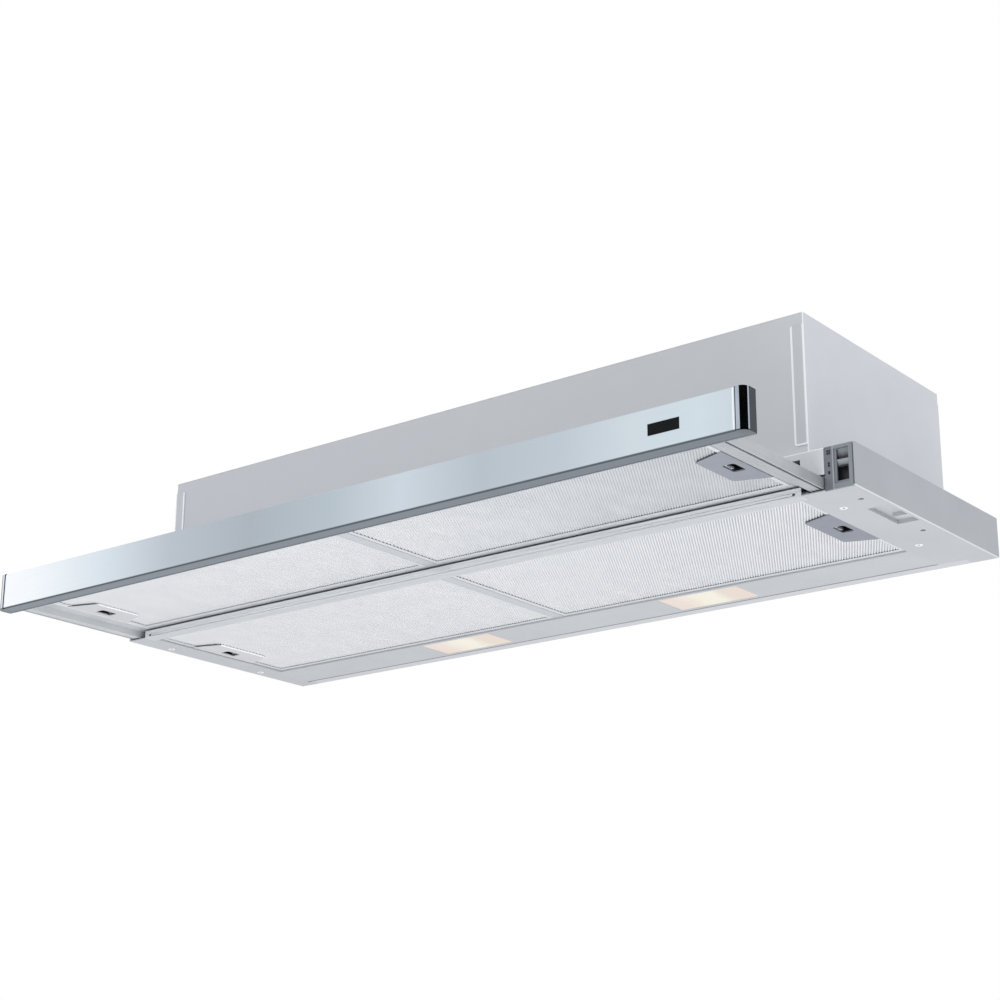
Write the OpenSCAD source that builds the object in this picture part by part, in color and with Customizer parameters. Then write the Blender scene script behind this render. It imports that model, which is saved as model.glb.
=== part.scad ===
// Pull-out (telescopic) cooker hood, 90 cm class, drawn with its drawer pulled out.
// X runs to the right, Y towards the wall and Z up. The origin is the middle of the
// wall face's bottom edge. Every length is in millimetres.

/* [Base frame] */
// Overall width of the fixed base
base_w = 894; // [884:2:930]
// Depth of the base, from the wall to its front face
base_d = 275; // [268:1:300]
// Height of the base
base_h = 39; // [38:1:48]
// Thickness of the folded sheet steel
sheet = 1; // [0.8:0.1:1.2]
// Width of the underside beside the filters, left
ear_left = 31; // [31:1:40]
// Width of the underside beside the filters, right, where the control housing sits
ear_right = 59; // [59:1:70]
// Depth of the bright bar across the front of the filters
bar_d = 14; // [10:1:20]
// Height of that bar
bar_h = 8; // [6:0.5:8.5]
// Depth of the rear strip that carries the lamps, to the wall
strip_d = 70; // [64:1:80]
// Depth of the plain rim behind the lamp panel
rim_d = 13.5; // [12:0.5:14]
// Distance of the rim's ends from the base's outer sides
rim_end = 27; // [24:1:28]
// How far the lamp panel reaches into the left side
panel_lap_left = 10; // [4:0.5:12]
// How far the lamp panel reaches into the right side
panel_lap_right = 3; // [2:0.5:10]
// Height of the fold round the filter opening
flange_h = 9; // [8:0.5:9]
// Height of the front slot at its ends, where the rails pass
slot_end_h = 15; // [15:0.5:18]
// Height of the front slot where the drawer passes
slot_mid_h = 32.5; // [28:0.5:35]
// Distance from the filter opening to the end of the high slot
slot_step = 6.5; // [5:0.5:10]

/* [Motor box] */
// Distance of the motor box from the base's outer sides
box_side = 50; // [47:1:60]
// Overall height, underside to the top of the motor box
hood_h = 174; // [172:1:220]
// Distance of the box behind the base front
box_front = 12; // [8:1:20]
// Distance of the box from the wall
box_back = 5.5; // [3:0.5:10]
// Width of the ledge that carries the box walls
seat_w = 10; // [8:1:12]
// Width of the foot folded in under each box wall
foot_w = 7; // [5:0.5:8]
// Width of the tabs that the side panels fold over the front and back
tab_w = 13; // [10:1:18]
// Distance of those tabs from the top and bottom of the box
tab_margin = 11; // [8:1:30]

/* [Drawer] */
// How far the drawer pulls out
travel = 162; // [120:1:170]
// Distance of a rail's outer side from the filter opening
rail_over = 28; // [26.5:0.5:28.5]
// Height of the drawer filters' underside
drawer_z = 10; // [10:0.5:11]
// Width of a slide rail
rail_w = 13; // [11:0.5:14]
// Height of a slide rail
rail_h = 10.6; // [9:0.1:11]
// Wall of the rails and drawer bars
rail_t = 1.2; // [1:0.1:1.5]
// Running gap round the rails
run_gap = 0.3; // [0.25:0.05:0.4]
// Width of the groove inside a rail's outer wall
rail_groove = 2.6; // [2:0.1:3]
// Height of the wall beside the drawer filters
drawer_wall = 9; // [8:0.5:12]
// Distance of the rails' ends from the wall when pushed in
rail_rest = 13; // [13:0.5:30]
// Depth of the drawer's rear bar
rear_bar_d = 16; // [12:1:20]
// Length of the stop lugs at the ends of the rear bar
lug_l = 13; // [10:0.5:14]
// Clearance at the stops and behind the closed visor
stop_gap = 0.5; // [0.4:0.1:1]

/* [Visor] */
// How far the visor reaches past the base's sides
visor_over = 3; // [0:0.5:10]
// Height of the visor
visor_h = 37; // [34:0.5:40]
// Thickness of the visor
visor_t = 16; // [14:0.5:22]
// How far the visor hangs below the base
visor_drop = 2; // [0:0.5:4]
// Wall of the visor extrusion
visor_wall = 1.5; // [1.2:0.1:2]
// Width of each end cap
cap_w = 10; // [8:0.5:14]
// Radius of the end cap's front corner
cap_r = 7; // [4:0.5:8]
// Depth of the end cap's spigot in the extrusion
cap_spigot = 12; // [8:1:20]

/* [Filters] */
// Thickness of a grease filter cassette
filter_t = 7.6; // [7:0.1:7.8]
// Gap round each cassette
filter_gap = 0.8; // [0.6:0.1:1]
// Wall of the cassette frame
filter_wall = 0.8; // [0.6:0.1:1]
// Width of the frame's lip
filter_lip = 4.4; // [3:0.2:6]
// Height of the rear filters' underside
rear_filter_z = 1.6; // [1.2:0.1:1.8]
// Pitch of the expanded mesh's strands, across them
rib_pitch = 2.5; // [2.4:0.1:5]
// Depth of the mesh between its strands
rib_h = 1; // [0.6:0.1:1.6]
// Angle of the strands from the filter's short side
rib_lean = 29; // [0:1:40]
// Width of the bar between two filters
divider_w = 12; // [12:0.5:20]
// Width of a filter's tongue
tongue_w = 14; // [10:1:20]
// Length of a filter's tongue
tongue_l = 5; // [3:0.5:5]

/* [Filter latches] */
// Length of the rear handle plates along the filter's end
handle_rear_w = 94; // [80:1:110]
// Length of the front handle plates along the filter's end
handle_front_w = 82; // [70:1:90]
// How far behind their filters' middle the front handles sit
handle_shift = 8; // [0:1:12]
// Depth of a handle plate, from the filter's outer end
handle_d = 32.5; // [30:0.5:36]
// How far a handle plate's slanted ends draw in
handle_taper = 11; // [8:1:14]
// Radius of a handle plate's inner corners
handle_r = 2.5; // [1.5:0.5:5]
// Length of the finger slot
slot_l = 20; // [18:1:26]
// Width of the finger slot
slot_w = 12; // [11:0.5:13]
// Travel of the latch
latch_travel = 6; // [5:0.5:6.5]
// Width of the latch bolt
bolt_w = 10; // [8:1:14]
// How far the bolt stands out of the cassette
bolt_out = 4.4; // [3.5:0.1:5]

/* [Lamps] */
// Distance between the two lamp windows
lamp_spacing = 312; // [260:2:400]
// Place of the pair's middle
lamp_mid = -4; // [-20:1:20]
// Length of a lamp window
window_l = 92; // [80:1:110]
// Depth of a lamp window
window_d = 46; // [40:1:47]
// Height of the lamp housings above the underside
lamp_h = 43; // [43:1:50]
// Diameter of the candle bulbs
bulb_d = 35; // [30:1:35]
// Length of a bulb's glass
bulb_l = 70; // [60:1:74]
// Diameter of a lamp holder
holder_d = 27; // [24:1:30]
// Length of a lamp holder
holder_l = 26; // [22:1:30]

/* [Fan] */
// Diameter of the fan wheel
wheel_d = 92; // [84:1:92]
// Length of the fan wheel
wheel_l = 118; // [100:1:119]
// Number of blades
blades = 30; // [20:1:36]
// Radial depth of a blade
blade_d = 10; // [8:0.5:12]
// Thickness of a blade
blade_t = 0.8; // [0.6:0.1:1.2]
// Gap between the wheel and the scroll where the scroll starts
scroll_gap = 4; // [3:0.5:5]
// How much the scroll widens over its turn
scroll_rise = 20; // [16:1:20]
// Inside width of the scroll
scroll_w = 126; // [124:1:130]
// Wall of the moulded fan parts
mould_t = 1.8; // [1.5:0.1:2.2]
// Height of the fan axis
fan_z = 108; // [108:1:112]
// Diameter of the fan motor
motor_d = 62; // [50:1:62]
// Length of the fan motor
motor_l = 52; // [40:1:52]
// Gap between the scroll's side and the motor's plate
bracket_gap = 8; // [5:1:12]
// Width of the motor bracket's arms
bracket_arm = 10; // [8:1:14]
// Thickness of the motor bracket's plate
bracket_t = 3; // [2:0.5:4]
// Diameter of the motor shaft
shaft_d = 8; // [6:0.5:10]
// Radial running clearance of the shaft
shaft_clear = 0.05; // [0.03:0.01:0.08]

/* [Air outlet] */
// Outside diameter of the duct spigot
spigot_d = 149; // [147:0.5:151]
// Height of the spigot above the motor box
spigot_h = 35; // [30:1:35]
// Wall of the spigot
spigot_t = 2.5; // [2:0.1:3]
// Distance of the spigot's centre from the wall
outlet_y = 98; // [95:1:105]
// Diameter of the flap rod
rod_d = 4; // [3:0.5:5]
// Thickness of a flap
flap_t = 1.6; // [1.2:0.1:2]

/* [Controls] */
// Width of the control housing's face
bezel_w = 27; // [26:0.5:28]
// Depth of the control housing
bezel_d = 40; // [34:1:60]
// Width of the control's slot
knob_slot_w = 12; // [10:0.5:13]
// Height of the control's slot
knob_slot_h = 29; // [28:0.5:30]
// Height of the sliding control
knob_h = 17; // [15:0.5:17.5]
// Travel of the sliding control
knob_travel = 11.5; // [10:0.1:11.5]
// Diameter of the contact switch's plunger
plunger_d = 3; // [2:0.1:4]
// Stroke of the plunger
plunger_stroke = 3; // [2:0.5:3.5]

/* [Wiring] */
// Distance of the cable gland from the motor box's right side
gland_side = 97; // [70:1:120]
// Distance of the cable gland from the wall
gland_back = 45; // [40:1:60]
// Radius of the cable gland's hole
gland_r = 6; // [5:0.5:8]
// Width of the terminal box
terminal_w = 90; // [70:1:110]
// Depth of the terminal box
terminal_d = 54; // [50:1:60]
// Height of the terminal box
terminal_h = 34; // [26:1:40]

/* [Pressed pocket] */
// Length of the pocket in the right side's underside
pocket_l = 56; // [40:1:60]
// Width of the pocket
pocket_w = 21; // [16:1:22]
// Height of the pocket
pocket_h = 5; // [3:0.5:6]
// Distance of the pocket from the base's outer side
pocket_side = 4; // [3:0.5:8]
// Distance of the pocket from the base's front
pocket_front = 66; // [60:1:75]

/* [Fasteners] */
// Diameter of the cabinet screw holes in the top ledge
cabinet_hole_d = 5; // [4:0.1:6]
// Distance of the cabinet holes from the base's outer side
cabinet_hole_x = 16; // [14:0.5:18]
// Distance of the front pair of cabinet holes from the wall
cabinet_hole_front = 237; // [220:1:245]
// Distance of the rear pair of cabinet holes from the wall
cabinet_hole_rear = 122.5; // [60:0.5:140]
// Diameter of a screw head
head_d = 5.6; // [5:0.1:7]
// Diameter of a rivet's pressed head
rivet_d = 8; // [5:0.5:9]
// Distance of the front pair of rivets from the base's front
rivet_front = 51; // [45:1:60]
// Distance of the rear pair of rivets from the wall
rivet_rear = 84; // [80:1:100]
// Height of a screw's or rivet's head
head_h = 0.8; // [0.6:0.1:1.4]

/* [Hidden] */
eps = 0.01;
front_y = -base_d;
half_w = base_w / 2;
inner_w = half_w - sheet;
open_l = -half_w + ear_left;
open_r = half_w - ear_right;
slide_x = (open_l + open_r) / 2;
open_half = (open_r - open_l) / 2;
bar_back = front_y + bar_d;
strip_y = -strip_d;
box_y0 = front_y + box_front;
box_y1 = -box_back;
box_half = half_w - box_side;

// Drawer
drawer_half = open_half + rail_over;
rail_in = drawer_half - rail_w;
rail_z = sheet * 2 + run_gap;
rail_top = rail_z + rail_h;
visor_back = front_y - stop_gap - travel;
visor_front = visor_back - visor_t;
visor_half = half_w + visor_over;
rail_end = -rail_rest - travel;
lug_y = front_y + sheet + run_gap;
filter_back = front_y - filter_gap * 4;
rear_bar_y0 = filter_back;
rear_bar_y1 = rear_bar_y0 + rear_bar_d;
front_bar_y = visor_back + rail_t;
divider_h = filter_t - run_gap;

// Filters: each is drawn from its inner end outwards
filter_l = open_half - divider_w / 2 - 2 * filter_gap;
front_filter_d = filter_back - front_bar_y - 2 * filter_gap;
rear_filter_d = strip_y - bar_back - 2 * filter_gap;
front_filter_y = (filter_back + front_bar_y) / 2;
rear_filter_y = (strip_y + bar_back) / 2;
filter_x = divider_w / 2 + filter_gap;
tongue_share = 0.25;
tongue_z = sheet + run_gap;
tongue_t = 1;
latch_z = 1.3;
bolt_z = 2.2;
bolt_t = 2.2;
latch_t = 3.4;
latch_l = 22;
pull_l = 5;
latch_head = 6;
pull_side = 1.5;
pull_sag = 2.7;
grip_r = 0.6;
slot_edge = 2.5;
slot_r = 3;
latch_wide = slot_l;
latch_box_l = latch_l + latch_travel + 2.5;
plate_t = 0.7;
plate_low = 0.4;
bolt_clear = 0.4;

// Lamps
window_y = -(strip_d + rim_d) / 2 - 1.5;
lamp_len = holder_l + bulb_l + 16;
lamp_x = [lamp_mid - lamp_spacing / 2, lamp_mid + lamp_spacing / 2];
bulb_z = sheet + lamp_h / 2;

// Fan, whose scroll ends below the outlet
wheel_r = wheel_d / 2;
scroll_r0 = wheel_r + scroll_gap;
scroll_r1 = scroll_r0 + scroll_rise;
cut_a = 80;
throat_y0 = scroll_r0 * cos(cut_a);
fan_y = -outlet_y - (throat_y0 + scroll_r1) / 2;
scroll_half = scroll_w / 2;
scroll_top = hood_h - sheet;
motor_r = motor_d / 2;
inlet_r = wheel_r - blade_d + 2;
hub_r = 13;
hub_l = 9;

// Outlet
spigot_r = spigot_d / 2;
spigot_in = spigot_r - spigot_t;
outlet_hole = spigot_in;
plate_half = spigot_r + 20;
rod_z = hood_h + 12;
flap_r = spigot_in - 1;
flap_root = 5;
knuckle_r = rod_d / 2 + 1.8;
rod_in = spigot_t / 2;

// Controls
bezel_x1 = inner_w - sheet;
bezel_x0 = bezel_x1 - bezel_w;
bezel_t = 2;
knob_x = bezel_x1 - 10;
knob_top = base_h - sheet - bezel_t;
knob_recess = 1.2;
switch_d = 22;
pin_l = 7;
pin_t = 0.8;
pin_h = 6;
pin_pitch = 5;
slide_gap = 0.3;
plunger_y = rail_end + travel + run_gap;

// ---- Shared shapes

// A box between two corners
module block(lo, hi) {
    translate(lo) cube(hi - lo);
}

// A (y, z) outline drawn out along X, or an (x, z) outline along Y
module along_x(x0, x1) {
    translate([x0, 0, 0]) rotate([90, 0, 90]) linear_extrude(x1 - x0) children();
}
module along_y(y0, y1) {
    translate([0, y1, 0]) rotate([90, 0, 0]) linear_extrude(y1 - y0) children();
}

// The section of folded sheet that follows the middle line given by path
module fold(path, t) {
    for (i = [1 : len(path) - 1]) {
        a = path[i - 1];
        b = path[i];
        lo = [min(a.x, b.x), min(a.y, b.y)] - [t, t] / 2;
        hi = [max(a.x, b.x), max(a.y, b.y)] + [t, t] / 2;
        translate(lo) square(hi - lo);
    }
}

// A plate with all four corners rounded
module round_rect(size, r) {
    translate([r, 0]) square([size.x - 2 * r, size.y]);
    translate([0, r]) square([size.x, size.y - 2 * r]);
    for (x = [r, size.x - r], y = [r, size.y - r]) translate([x, y]) circle(r, $fn = 32);
}

// The left piece of a pair, as the right one's mirror image
module handed(side) {
    if (side < 0) mirror([1, 0, 0]) children();
    else children();
}

// ---- Motor box

// The front or rear sheet, with a foot on the base's ledge and a flange under the top
module casing_wall(y, into) {
    m = sheet / 2;
    y0 = y + into * m;
    along_x(-box_half + sheet, box_half - sheet) fold([
        [y + into * foot_w, base_h + m], [y0, base_h + m], [y0, hood_h - sheet - m],
        [y + into * foot_w, hood_h - sheet - m]
    ], sheet);
}

module casing_walls() color("#BFC3C6") {
    casing_wall(box_y0, 1);
    casing_wall(box_y1, -1);
}

// The top: a sheet on each side of the plate that carries the fan and the spigot
module casing_top() color("#BFC3C6") difference() {
    for (side = [-1, 1]) handed(side)
        block([plate_half, box_y0, hood_h - sheet], [box_half - sheet, box_y1, hood_h]);
    translate([gland_x, gland_y, hood_h - 2 * sheet]) cylinder(r = gland_r, h = 4 * sheet, $fn = 48);
}

module fan_plate() color("#BFC3C6") difference() {
    block([-plate_half, box_y0, hood_h - sheet], [plate_half, box_y1, hood_h]);
    translate([0, -outlet_y, hood_h - 2 * sheet]) cylinder(r = outlet_hole, h = 4 * sheet, $fn = 96);
}

// A side panel, with the tab folded over the front sheet and the back sheet
module casing_side(side) color("#CBCDD2") handed(side) {
    z0 = base_h + tab_margin;
    z1 = hood_h - tab_margin;
    block([box_half - sheet, box_y0, base_h], [box_half, box_y1, hood_h]);
    block([box_half - foot_w, box_y0 + seat_w, base_h], [box_half, box_y1 - seat_w, base_h + sheet]);
    for (y = [box_y0 - sheet, box_y1]) {
        along_y(y, y + sheet) {
            translate([box_half - tab_w, z0]) round_rect([tab_w, z1 - z0], 3);
            translate([box_half - tab_w / 2, z0]) square([tab_w / 2, z1 - z0]);
        }
    }
}

// ---- Base frame

// A folded side of the base: fold round the filter opening, underside, wall and top ledge
module base_side(open_x, lap) {
    notch = [open_x + lap, strip_y, -rim_d];
    difference() {
        union() {
            block([open_x, front_y, 0], [half_w, -rim_d, sheet]);
            block([half_w - rim_end, -rim_d - eps, 0], [half_w, -sheet, sheet]);
            block([open_x, bar_back, 0], [open_x + sheet, strip_y, flange_h]);
            block([inner_w, front_y, 0], [half_w, 0, base_h]);
            block([box_half - seat_w, box_y0 + seat_w, base_h - sheet],
                [half_w, box_y1 - seat_w, base_h]);
        }
        block([open_x - 1, notch[1], -1], [notch[0], notch[2] + 1, sheet + 1]);
        block([open_x - 1, front_y - 1, -1], [open_x + slot_step, bar_back, sheet + 1]);
        block([open_x - 1, rear_filter_y - bolt_w / 2 - bolt_clear, rear_filter_z + bolt_z - bolt_clear],
            [open_x + 2 * sheet, rear_filter_y + bolt_w / 2 + bolt_clear,
            rear_filter_z + bolt_z + bolt_t + bolt_clear]);
        for (y = [-cabinet_hole_front, -cabinet_hole_rear]) {
            translate([half_w - cabinet_hole_x, y, base_h - 2 * sheet])
                cylinder(d = cabinet_hole_d, h = 3 * sheet, $fn = 32);
        }
    }
}

module base_side_left() color("#C3C6CC") mirror([1, 0, 0]) base_side(-open_l, panel_lap_left);

// The right side also makes room for the control housing, and has the two screwdriver
// holes under the cabinet screws and a pressed pocket with a gusset behind the controls
module base_side_right() color("#C3C6CC") difference() {
    union() {
        base_side(open_r, panel_lap_right);
        block([pocket_x0 - sheet, pocket_y0 - sheet, 0], [pocket_x1 + sheet, pocket_y1 + sheet, pocket_h]);
    }
    block([bezel_x0 - slide_gap, front_y - 1, -1],
        [bezel_x1, front_y + bezel_t, base_h + 1]);
    for (y = [-cabinet_hole_front, -cabinet_hole_rear]) {
        translate([half_w - cabinet_hole_x, y, -1]) cylinder(d = cabinet_hole_d, h = 3, $fn = 32);
    }
    difference() {
        block([pocket_x0, pocket_y0, -1], [pocket_x1, pocket_y1, pocket_h - sheet]);
        translate([0, 0, -1]) linear_extrude(pocket_h) polygon([
            [pocket_x0 + 6, pocket_y1 - 22], [pocket_x1 + 1, pocket_y1 - 22], [pocket_x1 + 1, pocket_y1 - 12]
        ]);
    }
}

module base_front_strip() color("#BFC3C6") {
    high = [open_l - slot_step, open_r + slot_step];
    difference() {
        union() {
            block([-inner_w, front_y, slot_end_h], [bezel_x0 - slide_gap, front_y + sheet, base_h]);
            block([-inner_w, front_y, base_h - sheet], [bezel_x0 - slide_gap, box_y0 + seat_w, base_h]);
            block([bezel_x0 - 1, front_y + bezel_t, base_h - sheet],
                [inner_w, box_y0 + seat_w, base_h]);
        }
        block([high[0], front_y - 1, slot_end_h - 1], [high[1], front_y + sheet + eps, slot_mid_h]);
    }
}

module base_rear_rail() color("#C3C6CC") {
    block([-inner_w, -sheet, 0], [inner_w, 0, base_h]);
    block([rim_end - half_w, -rim_d, 0], [half_w - rim_end, -sheet, sheet]);
    block([-inner_w, box_y1 - seat_w, base_h - sheet], [inner_w, -sheet, base_h]);
}

// The bright bar, with a screw hole in its front near each end
module front_crossbar() color("#D5D8DC") difference() {
    m = sheet / 2;
    along_x(open_l - slot_step, open_r + slot_step) fold([
        [front_y + m, bar_h - m], [front_y + m, m], [bar_back - m, m], [bar_back - m, bar_h - m]
    ], sheet);
    for (x = [open_l + 1, open_r - 1]) translate([x, front_y - 1, bar_h * 0.35]) rotate([-90, 0, 0])
        cylinder(d = bar_h * 0.35, h = sheet + 2, $fn = 24);
}

// The open channel between two filters, notched for their tongues
module divider(z, y0, y1, filter_y, filter_d, wall, h) {
    m = wall / 2;
    side = divider_w / 2 - m;
    difference() {
        translate([slide_x, 0, z]) along_y(y0, y1)
            fold([[-side, h - m], [-side, m], [side, m], [side, h - m]], wall);
        for (s = [-1, 1]) {
            y = filter_y + s * filter_d * tongue_share;
            block([slide_x - divider_w, y - tongue_w / 2 - filter_gap, z + wall + run_gap / 3],
                [slide_x + divider_w, y + tongue_w / 2 + filter_gap, z + h + 1]);
        }
    }
}

module filter_divider() color("#C9CCD1")
    divider(rear_filter_z, bar_back, strip_y, rear_filter_y, rear_filter_d, sheet, divider_h);

module lamp_panel() color("#BFC3C6") {
    x = [open_l - panel_lap_left, open_r + panel_lap_right];
    difference() {
        union() {
            block([x[0], strip_y, 0], [x[1], -rim_d, sheet]);
            block([open_l, strip_y, 0], [open_r, strip_y + sheet, flange_h]);
        }
        for (cx = lamp_x) {
            block([cx - window_l / 2, window_y - window_d / 2, -1],
                [cx + window_l / 2, window_y + window_d / 2, sheet + 1]);
        }
    }
}

// ---- Lamps

// The reflector boxes above the windows, open below, with the holder's hole in their outer ends
module lamp_housings() color("#E6E6E2") for (i = [0, 1]) {
    side = i == 0 ? -1 : 1;
    translate([lamp_x[i], window_y, sheet]) handed(side) difference() {
        block([-lamp_len / 2, -window_d / 2 - 2.3, 0], [lamp_len / 2, window_d / 2 + 2.3, lamp_h]);
        block([-lamp_len / 2 + sheet, -window_d / 2 - 1.5, -1],
            [lamp_len / 2 - sheet, window_d / 2 + 1.5, lamp_h - sheet]);
        translate([lamp_len / 2 - 2 * sheet, 0, lamp_h / 2])
            rotate([0, 90, 0]) cylinder(r = 5, h = 4 * sheet, $fn = 32);
    }
}

// The frosted covers: each a pane that fills its window, with a rim that lies on the panel
module lamp_lenses() color("#FFF3E0") for (cx = lamp_x) translate([cx, window_y, 0]) {
    pane = [window_l / 2 - slide_gap, window_d / 2 - slide_gap];
    rim = [window_l / 2 + 1.2, window_d / 2 + 1.2];
    block([-pane.x, -pane.y, 0.2], [pane.x, pane.y, sheet]);
    block([-rim.x, -rim.y, sheet], [rim.x, rim.y, sheet + 1.2]);
}

// Both lamp holders, at the outer ends of their housings
module lamp_holders() color("#F0EEE8") for (i = [0, 1]) {
    side = i == 0 ? -1 : 1;
    translate([lamp_x[i], window_y, bulb_z]) handed(side)
        translate([lamp_len / 2 - sheet, 0, 0]) rotate([0, -90, 0]) {
            rotate_extrude($fn = 48) polygon([
                [0, 0], [holder_d / 2, 0], [holder_d / 2, 6], [holder_d / 2 - 2, 8],
                [holder_d / 2 - 2, holder_l], [7.3, holder_l], [7.3, 6], [0, 6]
            ]);
            translate([0, 0, -3]) cylinder(r = 4.7, h = 3, $fn = 32);
        }
}

// The outline of a candle bulb, base to tip
function candle(n) = [
    for (k = [0 : n]) let (s = k / n)
        [max(0, bulb_d / 2 * pow(sin(180 * pow(s, 0.72)), 0.8)) * (1 - s) + 7 * (1 - s) * (1 - s) * s
        + (k == 0 ? 6.9 : 0), s * bulb_l]
];

module bulbs() color("#FFF8E8") for (i = [0, 1]) {
    side = i == 0 ? -1 : 1;
    n = 14;
    cap_l = holder_l - 6;
    translate([lamp_x[i], window_y, bulb_z]) handed(side)
        translate([lamp_len / 2 - sheet - 6, 0, 0]) rotate([0, -90, 0])
            rotate_extrude($fn = 48) polygon(concat(
                [[0, 0], [3, 0], [6.9, 3]],
                [for (p = candle(n)) [p.x, p.y + cap_l]],
                [[0, cap_l + bulb_l]]
            ));
}

// ---- Slide guides and controls

// The C-shaped channel in the base that a drawer rail runs in
module slide_guide(side) color("#A9AEB4") {
    m = sheet / 2;
    web = drawer_half + run_gap + m;
    lip = rail_in;
    top = rail_top + run_gap + m;
    translate([slide_x, 0, 0]) handed(side) along_y(front_y + sheet + bezel_t, -rim_d)
        fold([[lip, sheet + m], [web, sheet + m], [web, top], [lip + 3, top]], sheet);
}

// The moulded housing with the control's slot, which has slanted left and lower sides
module control_housing() color("#8E9298") {
    slot = [knob_x - knob_slot_w / 2, knob_top - knob_slot_h];
    slot_hi = [knob_x + knob_slot_w / 2, knob_top];
    difference() {
        union() {
            block([bezel_x0, front_y, 0], [bezel_x1, front_y + bezel_t, base_h]);
            block([bezel_x0, front_y + bezel_t, sheet], [bezel_x1, front_y + bezel_d, base_h - sheet]);
        }
        block([bezel_x0 + bezel_t, front_y + 2 * bezel_t, sheet + bezel_t],
            [bezel_x1 - bezel_t, front_y + bezel_d + 1, base_h - sheet - bezel_t]);
        block([slot.x, front_y - 1, slot.y], [slot_hi.x, front_y + 3 * bezel_t, slot_hi.y]);
        along_y(front_y - 1, front_y + 1.4) polygon([
            [slot.x - 2, slot.y - 2], [slot_hi.x, slot.y - 2], [slot_hi.x, slot_hi.y], [slot.x - 2, slot_hi.y]
        ]);
    }
}

// The switch block behind the slot
module speed_switch() color("#3A3D42") {
    y0 = front_y + 2 * bezel_t + 4;
    y1 = y0 + switch_d;
    z0 = sheet + bezel_t;
    z1 = base_h - z0;
    block([bezel_x0 + bezel_t, y0, z0], [bezel_x1 - bezel_t, y1, z1]);
    for (k = [0 : 3]) {
        x = bezel_x0 + bezel_t + pin_pitch * (k + 0.8);
        block([x, y1, (z0 + z1 - pin_h) / 2], [x + pin_t, y1 + pin_l, (z0 + z1 + pin_h) / 2]);
    }
}

// The sliding control: a ridge between two finger scoops, a stem and a guide plate behind the face
module speed_slider() color("#8A8E94") {
    w = knob_slot_w / 2 - slide_gap;
    z1 = knob_top - slide_gap;
    z0 = z1 - knob_h;
    y0 = front_y + knob_recess;
    difference() {
        block([knob_x - w, y0, z0], [knob_x + w, front_y + 2 * bezel_t, z1]);
        for (s = [[z1 - 4.6, 5.4], [z0 + 3.2, 4]]) {
            translate([knob_x - w - 1, y0 - 1.4, s[0]]) rotate([0, 90, 0])
                cylinder(r = s[1], h = 2 * w + 2, $fn = 48);
        }
    }
    block([knob_x - w - 2, front_y + 2 * bezel_t + slide_gap, z0 + 2],
        [knob_x + w + 1, front_y + 2 * bezel_t + 2, z1 - 1]);
    block([knob_x - w, front_y + 2 * bezel_t - eps, z0 + 2],
        [knob_x + w, front_y + 2 * bezel_t + slide_gap + eps, z1 - 1]);
}

// The contact that tells the fan when the drawer is closed
module contact_switch() color("#2F3236") {
    x = slide_x + drawer_half - rail_w / 2;
    z = rail_z + rail_h / 2;
    difference() {
        block([x - 5, plunger_y + 4, sheet], [x + 5, -sheet, rail_top]);
        translate([x, plunger_y, z]) rotate([-90, 0, 0])
            cylinder(d = plunger_d + 0.2, h = plunger_stroke + 6.4, $fn = 32);
    }
}

module contact_plunger() color("#D8D8D4") {
    x = slide_x + drawer_half - rail_w / 2;
    translate([x, plunger_y, rail_z + rail_h / 2]) rotate([-90, 0, 0])
        cylinder(d = plunger_d, h = 6, $fn = 32);
}

// ---- Fan

// The spiral from the cut-off round to the throat, at a distance out from its wall's inner face
function spiral(out) = [
    for (a = [cut_a : 5 : 360]) let (r = scroll_r0 + scroll_rise * (a - cut_a) / (360 - cut_a) + out)
        [r * cos(a), r * sin(a)]
];

// The (y, z) outline of the scroll's inside, or of its outside, up to a given height
module scroll_outline(out, top) {
    translate([fan_y, fan_z]) polygon(concat(
        spiral(out), [[scroll_r1 + out, top - fan_z], [throat_y0 - out, top - fan_z]]
    ));
}

module fan_scroll() color("#B9BDC1") difference() {
    union() {
        along_x(-scroll_half - mould_t, scroll_half + mould_t) scroll_outline(mould_t, scroll_top);
        translate([0, -outlet_y, scroll_top - mould_t]) cylinder(r = outlet_hole + 6, h = mould_t, $fn = 96);
    }
    along_x(-scroll_half, scroll_half) scroll_outline(0, scroll_top + 1);
    translate([-scroll_half - 10, fan_y, fan_z]) rotate([0, 90, 0])
        cylinder(r = inlet_r, h = scroll_w + 20, $fn = 96);
}

// A forward-curved blade, as an (y, z) outline at the wheel's rim
module blade() {
    n = 4;
    r_in = wheel_r - blade_d;
    rise = blade_d - 0.5;
    lean = 14;
    polygon(concat(
        [for (k = [0 : n]) let (s = k / n, r = r_in + rise * s, a = lean * s * s) r * [cos(a), sin(a)]],
        [for (k = [n : -1 : 0]) let (s = k / n, r = r_in + rise * s, a = lean * s * s)
            r * [cos(a), sin(a)] + blade_t * [-sin(a + 30 * s), cos(a + 30 * s)]]
    ));
}

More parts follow.
